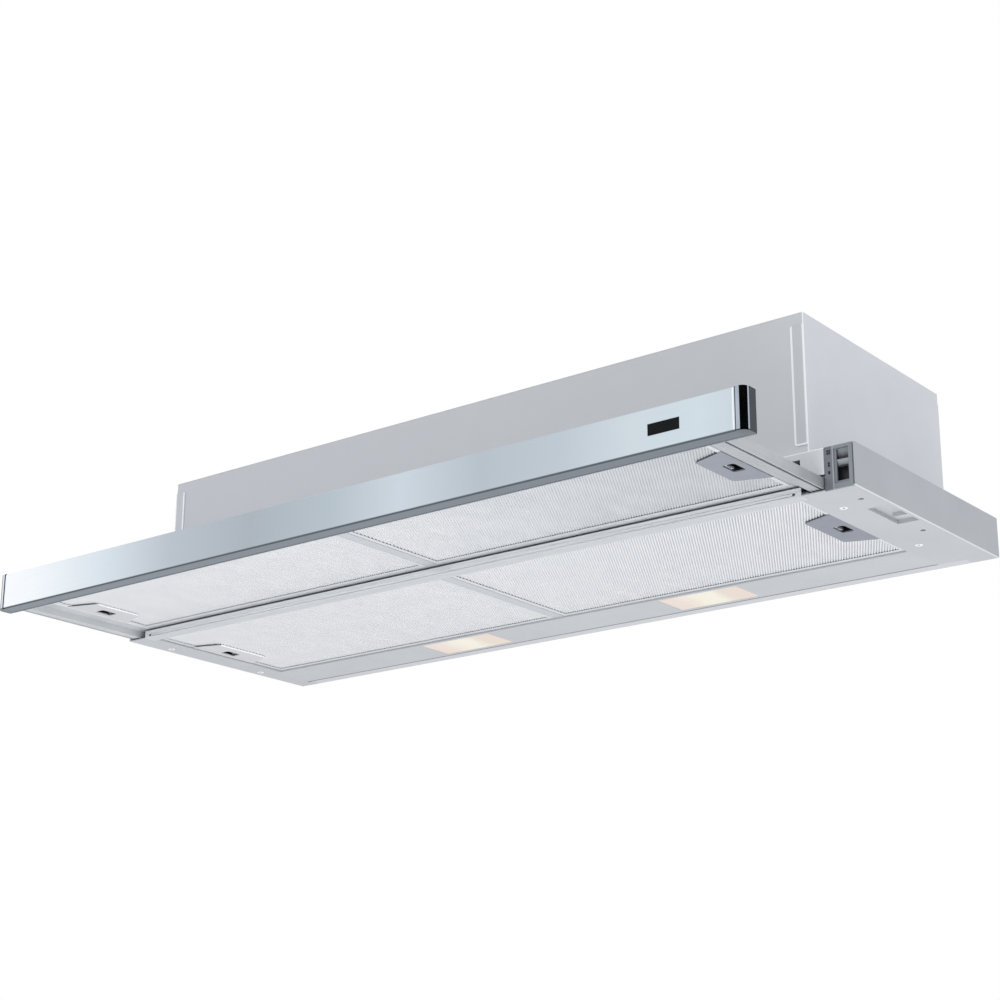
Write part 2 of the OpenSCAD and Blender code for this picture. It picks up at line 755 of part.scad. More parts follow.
module fan_wheel() color("#50555B") translate([0, fan_y, fan_z]) {
    ring_t = 2;
    blade_end = wheel_l / 2 - ring_t / 2;
    for (k = [0 : blades - 1]) {
        along_x(-blade_end, blade_end) rotate(k * 360 / blades) blade();
    }
    for (x = [-wheel_l / 2, wheel_l / 2 - ring_t]) translate([x, 0, 0]) rotate([0, 90, 0])
        difference() {
            cylinder(r = wheel_r, h = ring_t, $fn = 96);
            translate([0, 0, -1]) cylinder(r = wheel_r - blade_d * 0.55, h = ring_t + 2, $fn = 96);
        }
    rotate([0, 90, 0]) difference() {
        union() {
            translate([0, 0, -ring_t / 2]) cylinder(r = wheel_r, h = ring_t, $fn = 96);
            translate([0, 0, -hub_l]) cylinder(r = hub_r, h = hub_l + ring_t / 2, $fn = 64);
        }
        translate([0, 0, -hub_l - 1]) cylinder(d = shaft_d + 2 * shaft_clear, h = hub_l + 5, $fn = 48);
    }
}

module motor_shaft() color("#C8CCD0") translate([-hub_l - 3, fan_y, fan_z]) rotate([0, 90, 0])
    cylinder(d = shaft_d, h = hub_l + 3 + motor_l - 6, $fn = 48);

// The motor, inside the wheel's right half
module fan_motor() color("#9AA0A6") translate([4, fan_y, fan_z]) rotate([0, 90, 0]) difference() {
    union() {
        cylinder(r = 12, h = 3, $fn = 64);
        translate([0, 0, 3]) cylinder(r = motor_r - 3, h = 3, $fn = 64);
        translate([0, 0, 6]) cylinder(r = motor_r, h = motor_l - 12, $fn = 64);
        translate([0, 0, motor_l - 6]) cylinder(r = motor_r - 4, h = bracket_x - 4 - motor_l + 6, $fn = 64);
    }
    translate([0, 0, -1]) cylinder(d = shaft_d + 2 * shaft_clear, h = motor_l - 4, $fn = 48);
}

// The bracket on the right inlet: a ring on the scroll, three arms and a plate for the motor
module motor_bracket() color("#7E848A") translate([bracket_x, fan_y, fan_z]) {
    ring = [inlet_r, inlet_r + bracket_arm - 1];
    rotate([0, 90, 0]) difference() {
        translate([0, 0, scroll_half + mould_t - bracket_x])
            cylinder(r = ring[1], h = bracket_gap + bracket_t, $fn = 96);
        translate([0, 0, -60]) cylinder(r = ring[0], h = 120, $fn = 96);
    }
    rotate([0, 90, 0]) cylinder(r = motor_r - 8, h = bracket_t, $fn = 64);
    for (k = [0 : 2]) rotate([90 + 120 * k, 0, 0])
        block([0.5, hub_r, -bracket_arm / 2], [bracket_t - 0.5, ring[0] + 2, bracket_arm / 2]);
}

// ---- Air outlet

// The spigot on its flange, with a ledge that the flaps rest on and the rod's two sockets
module outlet_collar() color("#6F747A") translate([0, -outlet_y, hood_h]) difference() {
    z = rod_z - hood_h;
    ledge = z - flap_t / 2 - 0.2;
    rotate_extrude($fn = 128) polygon([
        [spigot_in, 0], [spigot_r + 14, 0], [spigot_r + 14, 2], [spigot_r, 2],
        [spigot_r, spigot_h - 8], [spigot_r - 0.8, spigot_h], [spigot_in, spigot_h], [spigot_in, ledge],
        [spigot_in - 3, ledge], [spigot_in - 3, ledge - 2]
    ]);
    translate([-spigot_in - rod_in, 0, z]) rotate([0, 90, 0])
        cylinder(d = rod_d, h = 2 * (spigot_in + rod_in), $fn = 32);
}

// The steel rod of the two flaps, in the spigot's wall
module flap_rod() color("#C8CCD0") translate([-spigot_in - rod_in, -outlet_y, rod_z]) rotate([0, 90, 0])
    cylinder(d = rod_d, h = 2 * (spigot_in + rod_in), $fn = 32);

// A half-round flap with two knuckles on the rod, drawn towards the wall
module flap(knuckles) {
    difference() {
        translate([0, 0, -flap_t / 2]) cylinder(r = flap_r, h = flap_t, $fn = 96);
        block([-flap_r - 1, -flap_r - 1, -flap_t], [flap_r + 1, flap_root, flap_t]);
    }
    for (x = knuckles) translate([x, 0, 0]) difference() {
        union() {
            rotate([0, 90, 0]) cylinder(r = knuckle_r, h = 10, $fn = 48);
            block([0, 0, -flap_t / 2], [10, flap_root + 2, flap_t / 2]);
        }
        translate([-1, 0, 0]) rotate([0, 90, 0])
            cylinder(d = rod_d + 2 * shaft_clear, h = 12, $fn = 32);
    }
}

module flap_rear() color("#5F646A") translate([0, -outlet_y, rod_z]) flap([-38, 14]);

module flap_front() color("#5F646A") translate([0, -outlet_y, rod_z]) rotate([0, 0, 180])
    flap([-36, 16]);

// ---- Wiring

gland_x = box_half - gland_side;
gland_y = -gland_back;
bracket_x = scroll_half + mould_t + bracket_gap;
pocket_x1 = half_w - pocket_side;
pocket_x0 = pocket_x1 - pocket_w;
pocket_y0 = front_y + pocket_front;
pocket_y1 = pocket_y0 + pocket_l;

module terminal_box() color("#3A3D42") {
    z = hood_h - sheet;
    y1 = gland_y + terminal_d / 2 - 3;
    difference() {
        block([gland_x - terminal_w / 2, y1 - terminal_d, z - terminal_h], [gland_x + terminal_w / 2, y1, z]);
        translate([gland_x, gland_y, z - 12]) cylinder(r = gland_r, h = 13, $fn = 48);
    }
}

// The gland where the mains lead would come out
module cable_gland() color("#2A2C2F") translate([gland_x, gland_y, hood_h]) difference() {
    union() {
        translate([0, 0, -12]) cylinder(r = gland_r - 0.1, h = 12, $fn = 48);
        cylinder(r = gland_r + 3, h = 3, $fn = 48);
        translate([0, 0, 3]) cylinder(r1 = gland_r + 1, r2 = gland_r - 1, h = 7, $fn = 48);
    }
    translate([0, 0, -13]) cylinder(r = 3.2, h = 25, $fn = 32);
}

// ---- Fasteners of the base: the rivets that hold the slide guides

module base_rivets() color("#E4E6E8") {
    for (side = [-1, 1], y = [front_y + rivet_front, -rivet_rear]) {
        x = slide_x + side * (drawer_half - rail_w + rivet_d / 2);
        translate([x, y, -head_h]) cylinder(d = rivet_d, h = head_h, $fn = 32);
    }
}

// ---- Drawer

// A rail's section: a channel with a beaded floor, and an outer wall past a narrow groove
module rail_channel() {
    m = rail_t / 2;
    mid = drawer_half - rail_t - rail_groove;
    floor_w = mid - rail_in;
    bead = floor_w / 6;
    difference() {
        fold([
            [rail_in + m, rail_top - m], [rail_in + m, rail_z + m], [mid - m, rail_z + m],
            [mid - m, rail_top - m], [drawer_half - m, rail_top - m], [drawer_half - m, rail_z + m]
        ], rail_t);
        for (x = [rail_in + bead, mid - 3 * bead + bead / 2])
            translate([x, rail_z - 1]) square([2 * bead - bead / 2, 1 + rail_t * 0.4]);
    }
}

module drawer_rail(side) color("#D0D3D7") {
    m = rail_t / 2;
    y = front_filter_y + latch_y(0);
    translate([slide_x, 0, 0]) handed(side) difference() {
        union() {
            along_y(visor_back, rail_end) rail_channel();
            along_y(visor_back, rear_bar_y1) fold([
                [rail_in + m, drawer_z + m], [open_half + m, drawer_z + m],
                [open_half + m, drawer_z + drawer_wall - m]
            ], rail_t);
            block([rail_in, rail_end - rail_t, rail_z], [drawer_half, rail_end, rail_top]);
        }
        block([open_half - 1, y - bolt_w / 2 - bolt_clear, drawer_z + bolt_z - bolt_clear],
            [open_half + rail_t + 1, y + bolt_w / 2 + bolt_clear,
            drawer_z + bolt_z + bolt_t + bolt_clear]);
    }
}

module drawer_front_bar() color("#C9CCD1")
    block([open_l, visor_back, drawer_z], [open_r, front_bar_y, drawer_z + drawer_wall]);

// The rear bar: a channel between the rails, with a stop lug at each end
module drawer_rear_bar() color("#C9CCD1") {
    m = rail_t / 2;
    along_x(open_l, open_r) fold([
        [rear_bar_y0 + m, drawer_z + drawer_wall - m], [rear_bar_y0 + m, drawer_z + m],
        [rear_bar_y1 - m, drawer_z + m], [rear_bar_y1 - m, drawer_z + drawer_wall - m]
    ], rail_t);
    for (side = [-1, 1]) translate([slide_x, 0, 0]) handed(side) {
        lug_z = slot_end_h + stop_gap;
        block([open_half - 6, lug_y, drawer_z + drawer_wall],
            [open_half + lug_l, lug_y + rail_t, drawer_z + drawer_wall + rail_t * 2]);
        block([open_half - 6, lug_y, drawer_z + rail_t],
            [open_half, lug_y + rail_t, drawer_z + drawer_wall]);
    }
}

module drawer_divider() color("#C9CCD1") divider(drawer_z, front_bar_y, rear_bar_y0,
    front_filter_y, front_filter_d, sheet, divider_h);

// The visor extrusion, a hollow section with its long edges rounded
module visor() color("#C6CCD4") {
    r = 2;
    half = visor_half - cap_w;
    translate([0, visor_front, -visor_drop]) along_x(-half, half) difference() {
        round_rect([visor_t, visor_h], r);
        translate([visor_wall, visor_wall]) square([visor_t - 2 * visor_wall, visor_h - 2 * visor_wall]);
    }
}

// An end cap, round at its front corner, with a spigot in the extrusion
module visor_cap(side) color("#E2E5E9") {
    x0 = visor_half - cap_w;
    x1 = visor_half;
    y0 = visor_front;
    c = visor_wall + slide_gap;
    handed(side) {
        translate([0, 0, -visor_drop]) linear_extrude(visor_h) difference() {
            translate([x0, y0]) square([cap_w, visor_t]);
            difference() {
                translate([x1 - cap_r, y0 - 1]) square(cap_r + 1);
                translate([x1 - cap_r, y0 + cap_r]) circle(cap_r, $fn = 48);
            }
        }
        block([x0 - cap_spigot, y0 + c, c - visor_drop],
            [x0 + cap_w / 8, y0 + visor_t - c, visor_h - visor_drop - c]);
    }
}

// The screws that hold the front bar to the visor
module drawer_screws() color("#B8BCC2") {
    for (side = [-1, 1], x = [open_half * 0.3, open_half * 0.75]) {
        translate([slide_x + side * x, front_bar_y, drawer_z + drawer_wall / 2]) rotate([-90, 0, 0])
            cylinder(d = head_d, h = filter_gap / 2, $fn = 32);
    }
}

// ---- Filters

// Puts a filter's piece in its place: row 0 is the drawer, row 1 the base
module at_filter(row, side) {
    y = row == 0 ? front_filter_y : rear_filter_y;
    z = row == 0 ? drawer_z : rear_filter_z;
    translate([slide_x, y, z]) handed(side) translate([filter_x, 0, 0]) children();
}

function filter_d(row) = row == 0 ? front_filter_d : rear_filter_d;
function handle_w(row) = row == 0 ? handle_front_w : handle_rear_w;
function latch_y(row) = row == 0 ? handle_shift : 0;

// The cassette's frame: an open channel all round, with two tongues at its inner end
module filter_frame(row, side) color("#DDE0E3") at_filter(row, side) {
    d = filter_d(row);
    difference() {
        block([0, -d / 2, 0], [filter_l, d / 2, filter_t]);
        block([filter_wall, -d / 2 + filter_wall, filter_wall],
            [filter_l - filter_wall, d / 2 - filter_wall, filter_t - filter_wall]);
        block([filter_lip, -d / 2 + filter_lip, -1],
            [filter_l - filter_lip, d / 2 - filter_lip, filter_t + 1]);
        translate([0, latch_y(row), bolt_z])
            block([filter_l - 2 * filter_wall, -bolt_w / 2 - bolt_clear, -bolt_clear],
            [filter_l + 1, bolt_w / 2 + bolt_clear, bolt_t + bolt_clear]);
    }
    for (s = [-1, 1]) translate([0, s * d * tongue_share, 0])
        block([-tongue_l, -tongue_w / 2, tongue_z], [filter_wall / 2, tongue_w / 2, tongue_z + tongue_t]);
}

// The pad of expanded aluminium inside the frame, with slanted strands below, cut back round
// the latch. The strands lean the same way on both sides, as on one cassette turned round.
module filter_mesh(row, side) color("#E3E5E6") at_filter(row, side) {
    d = filter_d(row);
    w = filter_wall;
    top = filter_t - w;
    n = ceil((filter_l * cos(rib_lean) + d * sin(rib_lean)) / 2 / rib_pitch);
    reach = (filter_l * sin(rib_lean) + d * cos(rib_lean)) / 2 + 1;
    difference() {
        intersection() {
            block([w, w - d / 2, 0], [filter_l - w, d / 2 - w, top]);
            translate([filter_l / 2, 0, w]) rotate(side * rib_lean) along_y(-reach, reach) polygon(concat(
                [for (k = [-n : n - 1], s = [0, 1]) [(k + s / 2) * rib_pitch, s * rib_h]],
                [[n * rib_pitch, 0], [n * rib_pitch, top], [-n * rib_pitch, top]]
            ));
        }
        translate([0, latch_y(row), 0])
            block([filter_l - latch_box_l - slide_gap, -slot_l / 2 - 2 - slide_gap, -1],
            [filter_l + 1, slot_l / 2 + 2 + slide_gap, filter_t + 1]);
    }
}

// A handle plate's outline, out to a given place
module handle_outline(w, outer) {
    x0 = filter_l - handle_d;
    flank = (w - handle_taper) + handle_taper * (outer - x0) / handle_d;
    polygon([
        [outer, -flank], [outer, flank],
        [x0 + handle_r, w - handle_taper + handle_r * handle_taper / handle_d],
        [x0 + handle_r, handle_taper - w - handle_r * handle_taper / handle_d]
    ]);
    translate([x0, handle_taper - w + handle_r]) square([handle_r * 2, 2 * (w - handle_taper - handle_r)]);
    for (s = [-1, 1]) translate([x0 + handle_r, s * (w - handle_taper - handle_r)])
        circle(handle_r, $fn = 32);
}

// The moulded plate at a filter's outer end, with the latch's box behind its finger slot
module filter_handle(row, side) color("#B4BAC0") at_filter(row, side) {
    w = handle_w(row) / 2;
    x1 = filter_l - filter_lip - slide_gap;
    box = [filter_l - latch_box_l, filter_l - filter_wall];
    top = filter_t - filter_wall - slide_gap;
    translate([0, latch_y(row), 0]) difference() {
        union() {
            translate([0, 0, -plate_low]) linear_extrude(plate_low) handle_outline(w, filter_l);
            translate([0, 0, -eps]) linear_extrude(plate_t + eps) handle_outline(w, x1);
            block([box[0], -slot_l / 2 - 2, filter_wall], [box[1], slot_l / 2 + 2, top]);
            block([box[0] + 1, -slot_l / 2 - 2, plate_t - eps], [x1, slot_l / 2 + 2, filter_wall + eps]);
        }
        block([box[0] + 1, -latch_wide / 2 - slide_gap, latch_z - slide_gap],
            [box[1] + 1, latch_wide / 2 + slide_gap, latch_z + latch_t + slide_gap]);
        translate([x1 - slot_edge - slot_w, -slot_l / 2, -1])
            linear_extrude(latch_z + 1) round_rect([slot_w, slot_l], slot_r);
    }
}

// The latch's finger hole: its inner side is an arc with grip grooves
module latch_hole(x0, x1, w) {
    r = (w * w + pull_sag * pull_sag) / (2 * pull_sag);
    grip = asin(w / r) - 4;
    translate([x0 + r, 0]) {
        intersection() {
            circle(r, $fn = 96);
            translate([-r, -w]) square([x1 - x0, 2 * w]);
        }
        for (k = [-4 : 4]) rotate(180 + k * grip / 4) translate([r, 0]) circle(grip_r, $fn = 16);
    }
}

// The sliding latch, with its finger hole and its bolt
module filter_latch(row, side) color("#9BA1A8") at_filter(row, side) {
    x1 = filter_l - filter_wall - slide_gap;
    x0 = x1 - latch_l;
    translate([0, latch_y(row), 0]) difference() {
        union() {
            block([x0, -latch_wide / 2, latch_z], [x1 - slide_gap, latch_wide / 2, latch_z + latch_t]);
            block([x1 - 2, -bolt_w / 2, bolt_z], [filter_l + bolt_out, bolt_w / 2, bolt_z + bolt_t]);
        }
        translate([0, 0, -1]) linear_extrude(filter_t)
            latch_hole(x0 + pull_l, x1 - latch_head, latch_wide / 2 - pull_side);
    }
}

// ---- The pieces

casing_walls();
casing_top();
fan_plate();
casing_side(-1);  // casing_side_left
casing_side(1);  // casing_side_right
base_side_left();
base_side_right();
base_front_strip();
base_rear_rail();
front_crossbar();
filter_divider();
lamp_panel();
lamp_housings();
lamp_lenses();
lamp_holders();
bulbs();
slide_guide(-1);  // slide_guide_left
slide_guide(1);  // slide_guide_right
control_housing();
speed_switch();
speed_slider();
contact_switch();
contact_plunger();
fan_scroll();
fan_wheel();
motor_shaft();
fan_motor();
motor_bracket();
outlet_collar();
flap_rod();
flap_front();
flap_rear();
terminal_box();
cable_gland();
base_rivets();
drawer_rail(-1);  // drawer_rail_left
drawer_rail(1);  // drawer_rail_right
drawer_front_bar();
drawer_rear_bar();
drawer_divider();
visor();
visor_cap(-1);  // visor_cap_left
visor_cap(1);  // visor_cap_right
drawer_screws();
filter_frame(0, -1);  // filter_frame_front_left
filter_frame(0, 1);  // filter_frame_front_right
filter_frame(1, -1);  // filter_frame_rear_left
filter_frame(1, 1);  // filter_frame_rear_right
filter_mesh(0, -1);  // filter_mesh_front_left
filter_mesh(0, 1);  // filter_mesh_front_right
filter_mesh(1, -1);  // filter_mesh_rear_left
filter_mesh(1, 1);  // filter_mesh_rear_right
filter_handle(0, -1);  // filter_handle_front_left
filter_handle(0, 1);  // filter_handle_front_right
filter_handle(1, -1);  // filter_handle_rear_left
filter_handle(1, 1);  // filter_handle_rear_right
filter_latch(0, -1);  // filter_latch_front_left
filter_latch(0, 1);  // filter_latch_front_right
filter_latch(1, -1);  // filter_latch_rear_left
filter_latch(1, 1);  // filter_latch_rear_right
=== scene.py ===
"""Looks of the pull-out range hood. Metres, Z up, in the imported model's frame."""

import math

import bmesh
import bpy
from mathutils import Matrix, Vector

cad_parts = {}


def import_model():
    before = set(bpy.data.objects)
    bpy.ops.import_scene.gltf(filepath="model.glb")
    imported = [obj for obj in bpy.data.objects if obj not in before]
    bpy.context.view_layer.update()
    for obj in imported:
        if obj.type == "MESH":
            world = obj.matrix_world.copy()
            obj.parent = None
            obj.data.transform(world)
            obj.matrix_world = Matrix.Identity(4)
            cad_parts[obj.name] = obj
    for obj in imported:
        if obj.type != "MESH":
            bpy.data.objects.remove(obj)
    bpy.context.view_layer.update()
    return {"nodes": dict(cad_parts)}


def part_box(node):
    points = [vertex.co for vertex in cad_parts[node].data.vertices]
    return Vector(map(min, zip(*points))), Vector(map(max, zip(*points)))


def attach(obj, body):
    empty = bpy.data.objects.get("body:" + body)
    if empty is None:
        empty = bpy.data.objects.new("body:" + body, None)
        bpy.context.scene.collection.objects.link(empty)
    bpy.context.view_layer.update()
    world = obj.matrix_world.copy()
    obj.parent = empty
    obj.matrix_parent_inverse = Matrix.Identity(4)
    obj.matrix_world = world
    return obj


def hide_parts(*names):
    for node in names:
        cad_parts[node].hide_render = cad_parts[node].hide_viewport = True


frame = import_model()
nodes = frame["nodes"]

# Places that the tints are tied to
BOX_FRONT_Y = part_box("casing_walls")[0].y
BOX_BACK_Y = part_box("casing_walls")[1].y
BOX_SIDE_X = 0.3958  # just inside the outer face of the box's side panels
TAB_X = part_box("casing_side_right")[0].x + 0.0009
TAB_Z = 0.0508  # lower end of the tabs
BASE_WALL_X = 0.4464  # just inside the outer walls of the base
BASE_TOP_Z = 0.0380
RIM_Y = -0.0136  # front edge of the rim behind the lamp strip
RIM_GAP_SHADOW_Y = -0.0149  # painted shadow in the gap between the two
# Where the painted shade on the drawer's rear bar begins
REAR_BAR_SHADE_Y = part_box("drawer_rear_bar")[1].y - 0.0045
RAIL_HIGHLIGHT_X = -0.4169  # inner edge of the left drawer rail, where a highlight line is painted
VISOR_FRONT_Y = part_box("visor")[0].y
VISOR_HALF = 0.44
VISOR_HIGHLIGHT_X = 0.4386  # painted highlight line where the visor meets its caps
CAP_JOINT_X = 0.4402
CAP_JOINT_LEFT_X = -0.4408
# Middle of a painted dark reflection band on the left cap
CAP_REFLECTION_LEFT_X = -0.4468
CAP_LOW_Z = -0.0015
# Above this the caps' outer sides are painted darkest, as a reflection
CAP_TOP_Z = 0.0340
SLOT_X = 0.4262  # step in the control's housing, beside its slot
LENS_HALF = 0.047  # half of a lamp cover's length

# Noise stretches: brushing runs along X, rolling lines along Y
BRUSHED_VISOR = (0.012, 1, 1)
BRUSHED_BAR = (0.015, 1, 1)
ROLLED_X = (0.03, 1, 1)
ROLLED_Y = (1, 0.02, 1)


# ---------------------------------------------------------------- colours and shader helpers

def srgb(code):
    """A colour written as RRGGBB, in the shader's linear values."""
    out = []
    for i in (0, 2, 4):
        c = int(code[i:i + 2], 16) / 255
        out.append(c / 12.92 if c <= 0.04045 else ((c + 0.055) / 1.055) ** 2.4)
    return (*out, 1.0)


def shade(c, k):
    """A colour made darker or lighter by a factor."""
    return (c[0] * k, c[1] * k, c[2] * k, 1.0)


WHITE_PURE = srgb("FFFFFF")
# Near-white painted highlight for folded and pressed edges
EDGE_HIGHLIGHT = srgb("F4F5F6")


class Mat:
    """A material with its Principled shader and short calls for the nodes before it."""

    def __init__(self, name, **sockets):
        self.mat = bpy.data.materials.new(name)
        self.mat.use_nodes = True
        self.tree = self.mat.node_tree
        self.tree.nodes.clear()
        out = self.tree.nodes.new("ShaderNodeOutputMaterial")
        self.bsdf = self.tree.nodes.new("ShaderNodeBsdfPrincipled")
        self.tree.links.new(self.bsdf.outputs[0], out.inputs[0])
        for key, value in sockets.items():
            self.bsdf.inputs[key.replace("_", " ")].default_value = value
        self._coords = None

    def link(self, a, b):
        self.tree.links.new(a, b)

    def node(self, kind, **props):
        n = self.tree.nodes.new(kind)
        for key, value in props.items():
            setattr(n, key, value)
        return n

    def feed(self, socket, value):
        """Links another node's output to a socket, or sets the socket to a plain value."""
        if isinstance(value, bpy.types.NodeSocket):
            self.link(value, socket)
        else:
            socket.default_value = value

    def coords(self, scale=(1, 1, 1)):
        """Object coordinates, which are the frame's own, scaled."""
        if self._coords is None:
            self._coords = self.node("ShaderNodeTexCoord").outputs["Object"]
        m = self.node("ShaderNodeMapping")
        m.inputs["Scale"].default_value = scale
        self.link(self._coords, m.inputs["Vector"])
        return m.outputs[0]

    def axis(self, name):
        """A point's X, Y or Z."""
        s = self.node("ShaderNodeSeparateXYZ")
        self.link(self.coords(), s.inputs[0])
        return s.outputs[name]

    def facing(self):
        """The surface normal's parts, by axis name."""
        s = self.node("ShaderNodeSeparateXYZ")
        self.link(self.node("ShaderNodeNewGeometry").outputs["Normal"], s.inputs[0])
        return s.outputs

    def noise(self, scale, stretch=(1, 1, 1), detail=3.0):
        n = self.node("ShaderNodeTexNoise")
        n.inputs["Scale"].default_value = scale
        n.inputs["Detail"].default_value = detail
        self.link(self.coords(stretch), n.inputs["Vector"])
        return n.outputs["Fac"]

    def span(self, value, lo, hi, out_lo, out_hi, smooth=False):
        """Maps a value's range to another range, clamped."""
        m = self.node("ShaderNodeMapRange", clamp=True)
        if smooth:
            m.interpolation_type = "SMOOTHSTEP"
        ends = {"From Min": lo, "From Max": hi, "To Min": out_lo, "To Max": out_hi}
        for key, end in ends.items():
            m.inputs[key].default_value = end
        self.link(value, m.inputs["Value"])
        return m.outputs[0]

    def cloud(self, scale, stretch=(1, 1, 1), detail=3.0, lo=0.3, hi=0.7, out=(0, 1)):
        """Noise whose usual range is spread over another range, 0 to 1 if none is given."""
        return self.span(self.noise(scale, stretch, detail), lo, hi, *out)

    def mix(self, fac, a, b):
        m = self.node("ShaderNodeMix", data_type="RGBA")
        for socket, value in ((m.inputs[0], fac), (m.inputs[6], a), (m.inputs[7], b)):
            self.feed(socket, value)
        return m.outputs[2]

    def ramp(self, value, stops):
        """Colours along 0 to 1, from places and colour codes."""
        r = self.node("ShaderNodeValToRGB")
        band = r.color_ramp
        while len(band.elements) < len(stops):
            band.elements.new(0.5)
        for e, (place, code) in zip(band.elements, stops):
            e.position = place
            e.color = srgb(code)
        self.link(value, r.inputs["Fac"])
        return r.outputs["Color"]

    def calc(self, op, *values):
        n = self.node("ShaderNodeMath", operation=op)
        for socket, value in zip(n.inputs, values):
            self.feed(socket, value)
        return n.outputs[0]

    # Masks are 1 where a tint goes and 0 elsewhere

    def both(self, a, b):
        """Where two masks hold, or one mask weakened by a number."""
        return self.calc("MULTIPLY", a, b)

    def either(self, a, b):
        return self.calc("MAXIMUM", a, b)

    def outside(self, a):
        return self.calc("SUBTRACT", 1, a)

    def away(self, value):
        """A value's distance from 0, so that left and right look alike."""
        return self.calc("ABSOLUTE", value)

    def near(self, value, place, half, soft=0.0002):
        """Where the value lies within half of a place; soft is the half width of its edges."""
        off = self.away(self.calc("SUBTRACT", value, place))
        return self.span(off, half - soft, half + soft, 1, 0)

    def above(self, value, place, soft=0.0002):
        return self.span(value, place - soft, place + soft, 0, 1)

    def below(self, value, place, soft=0.0002):
        return self.span(value, place - soft, place + soft, 1, 0)

    def bump(self, height, strength, distance):
        b = self.node("ShaderNodeBump")
        b.inputs["Strength"].default_value = strength
        b.inputs["Distance"].default_value = distance
        self.link(height, b.inputs["Height"])
        self.link(b.outputs[0], self.bsdf.inputs["Normal"])

    def colour(self, value):
        self.link(value, self.bsdf.inputs["Base Color"])

    def rough(self, value):
        self.link(value, self.bsdf.inputs["Roughness"])

    def glow(self, colour, strength):
        self.feed(self.bsdf.inputs["Emission Color"], colour)
        self.bsdf.inputs["Emission Strength"].default_value = strength


# ---------------------------------------------------------------- painted sheet

def paint(name, code, extra=None):
    """Satin paint on sheet steel, with a faint orange peel. extra tints single places."""
    m = Mat(name, Roughness=0.4, Coat_Weight=0.12, Coat_Roughness=0.3)
    c = srgb(code)
    col = m.mix(m.cloud(9, detail=4, lo=0.35, hi=0.65), shade(c, 0.97), shade(c, 1.02))
    m.colour(extra(m, col) if extra else col)
    m.rough(m.cloud(30, detail=5, out=(0.34, 0.46)))
    m.bump(m.noise(900, detail=2), 0.12, 0.00015)
    return m.mat


def base_tint(m, col):
    """Outer walls painted darker as shade, and a painted highlight line along the folded edges.
    """
    x = m.away(m.axis("X"))
    # Painted shade: the outer walls darker than the underside
    wall = m.mix(m.cloud(9, lo=0.35, hi=0.65), srgb("A4A7AC"), srgb("A9ACB1"))
    col = m.mix(m.above(x, BASE_WALL_X), col, wall)
    # Painted highlight along the walls' lower folded edge
    edge = m.both(m.above(x, BASE_WALL_X - 0.0004), m.near(m.axis("Z"), 0, 0.0006))
    return m.mix(m.both(edge, 0.6), col, EDGE_HIGHLIGHT)


def side_tint(m, col):
    """Painted highlight lines round the tabs folded over the front and back, and along the front
    fold.
    """
    x, y = m.away(m.axis("X")), m.axis("Y")
    outer = m.either(m.below(y, BOX_FRONT_Y - 0.0001), m.above(y, BOX_BACK_Y + 0.0001))
    # Painted highlight round the tabs' edges
    rim = m.either(m.near(x, TAB_X, 0.0011), m.near(m.axis("Z"), TAB_Z, 0.0009))
    tab = m.mix(rim, m.mix(0.5, col, srgb("BABDC1")), EDGE_HIGHLIGHT)
    # Painted highlight along the front fold
    fold = m.both(m.above(x, BOX_SIDE_X), m.below(y, BOX_FRONT_Y + 0.0006))
    return m.mix(fold, m.mix(outer, col, tab), EDGE_HIGHLIGHT)


def front_light_tint(m, col):
    """Painted light: slightly lighter towards the right, as the light falls on the front; most of
    each of the two colours replaces the paint's cloudy one.
    """
    left, right = (m.mix(0.85, col, srgb(code)) for code in ("C2C4C9", "CACDD1"))
    return m.mix(m.span(m.axis("X"), -0.35, 0.4, 0, 1), left, right)


def strip_tint(m, col):
    """A painted highlight along the upper edge of the front wall."""
    return m.mix(m.above(m.axis("Z"), BASE_TOP_Z), col, EDGE_HIGHLIGHT)


def rim_tint(m, col):
    """The light rim behind the lamp strip, and a painted shadow line in the gap between them."""
    y = m.axis("Y")
    under = m.span(m.axis("Z"), 0.0004, 0.001, 1, 0)
    col = m.mix(m.both(under, m.above(y, RIM_Y)), col, srgb("C3C5C8"))
    # Painted shadow in the gap between rim and lamp strip
    return m.mix(m.both(under, m.near(y, RIM_GAP_SHADOW_Y, 0.0013)), col, srgb("6E7176"))


# ---------------------------------------------------------------- zinc and other metals

def zinc(name, code, rough=0.42, metal=0.35, extra=None):
    """Zinc-plated sheet: cloudy, with fine rolling lines along Y. extra tints single places."""
    m = Mat(name, Metallic=metal)
    c = srgb(code)
    cloud = m.cloud(45, detail=5)
    line = m.cloud(400, ROLLED_Y)
    col = m.mix(line, m.mix(cloud, shade(c, 0.92), shade(c, 1.05)), shade(c, 0.96))
    m.colour(extra(m, col) if extra else col)
    m.rough(m.span(cloud, 0, 1, rough - 0.06, rough + 0.08))
    m.bump(line, 0.1, 0.0001)
    return m.mat


def rear_bar_shade(m, col):
    """Painted shade on the rear edge of the drawer's rear bar."""
    return m.mix(m.above(m.axis("Y"), REAR_BAR_SHADE_Y, 0.0006), col, srgb("8A8E92"))


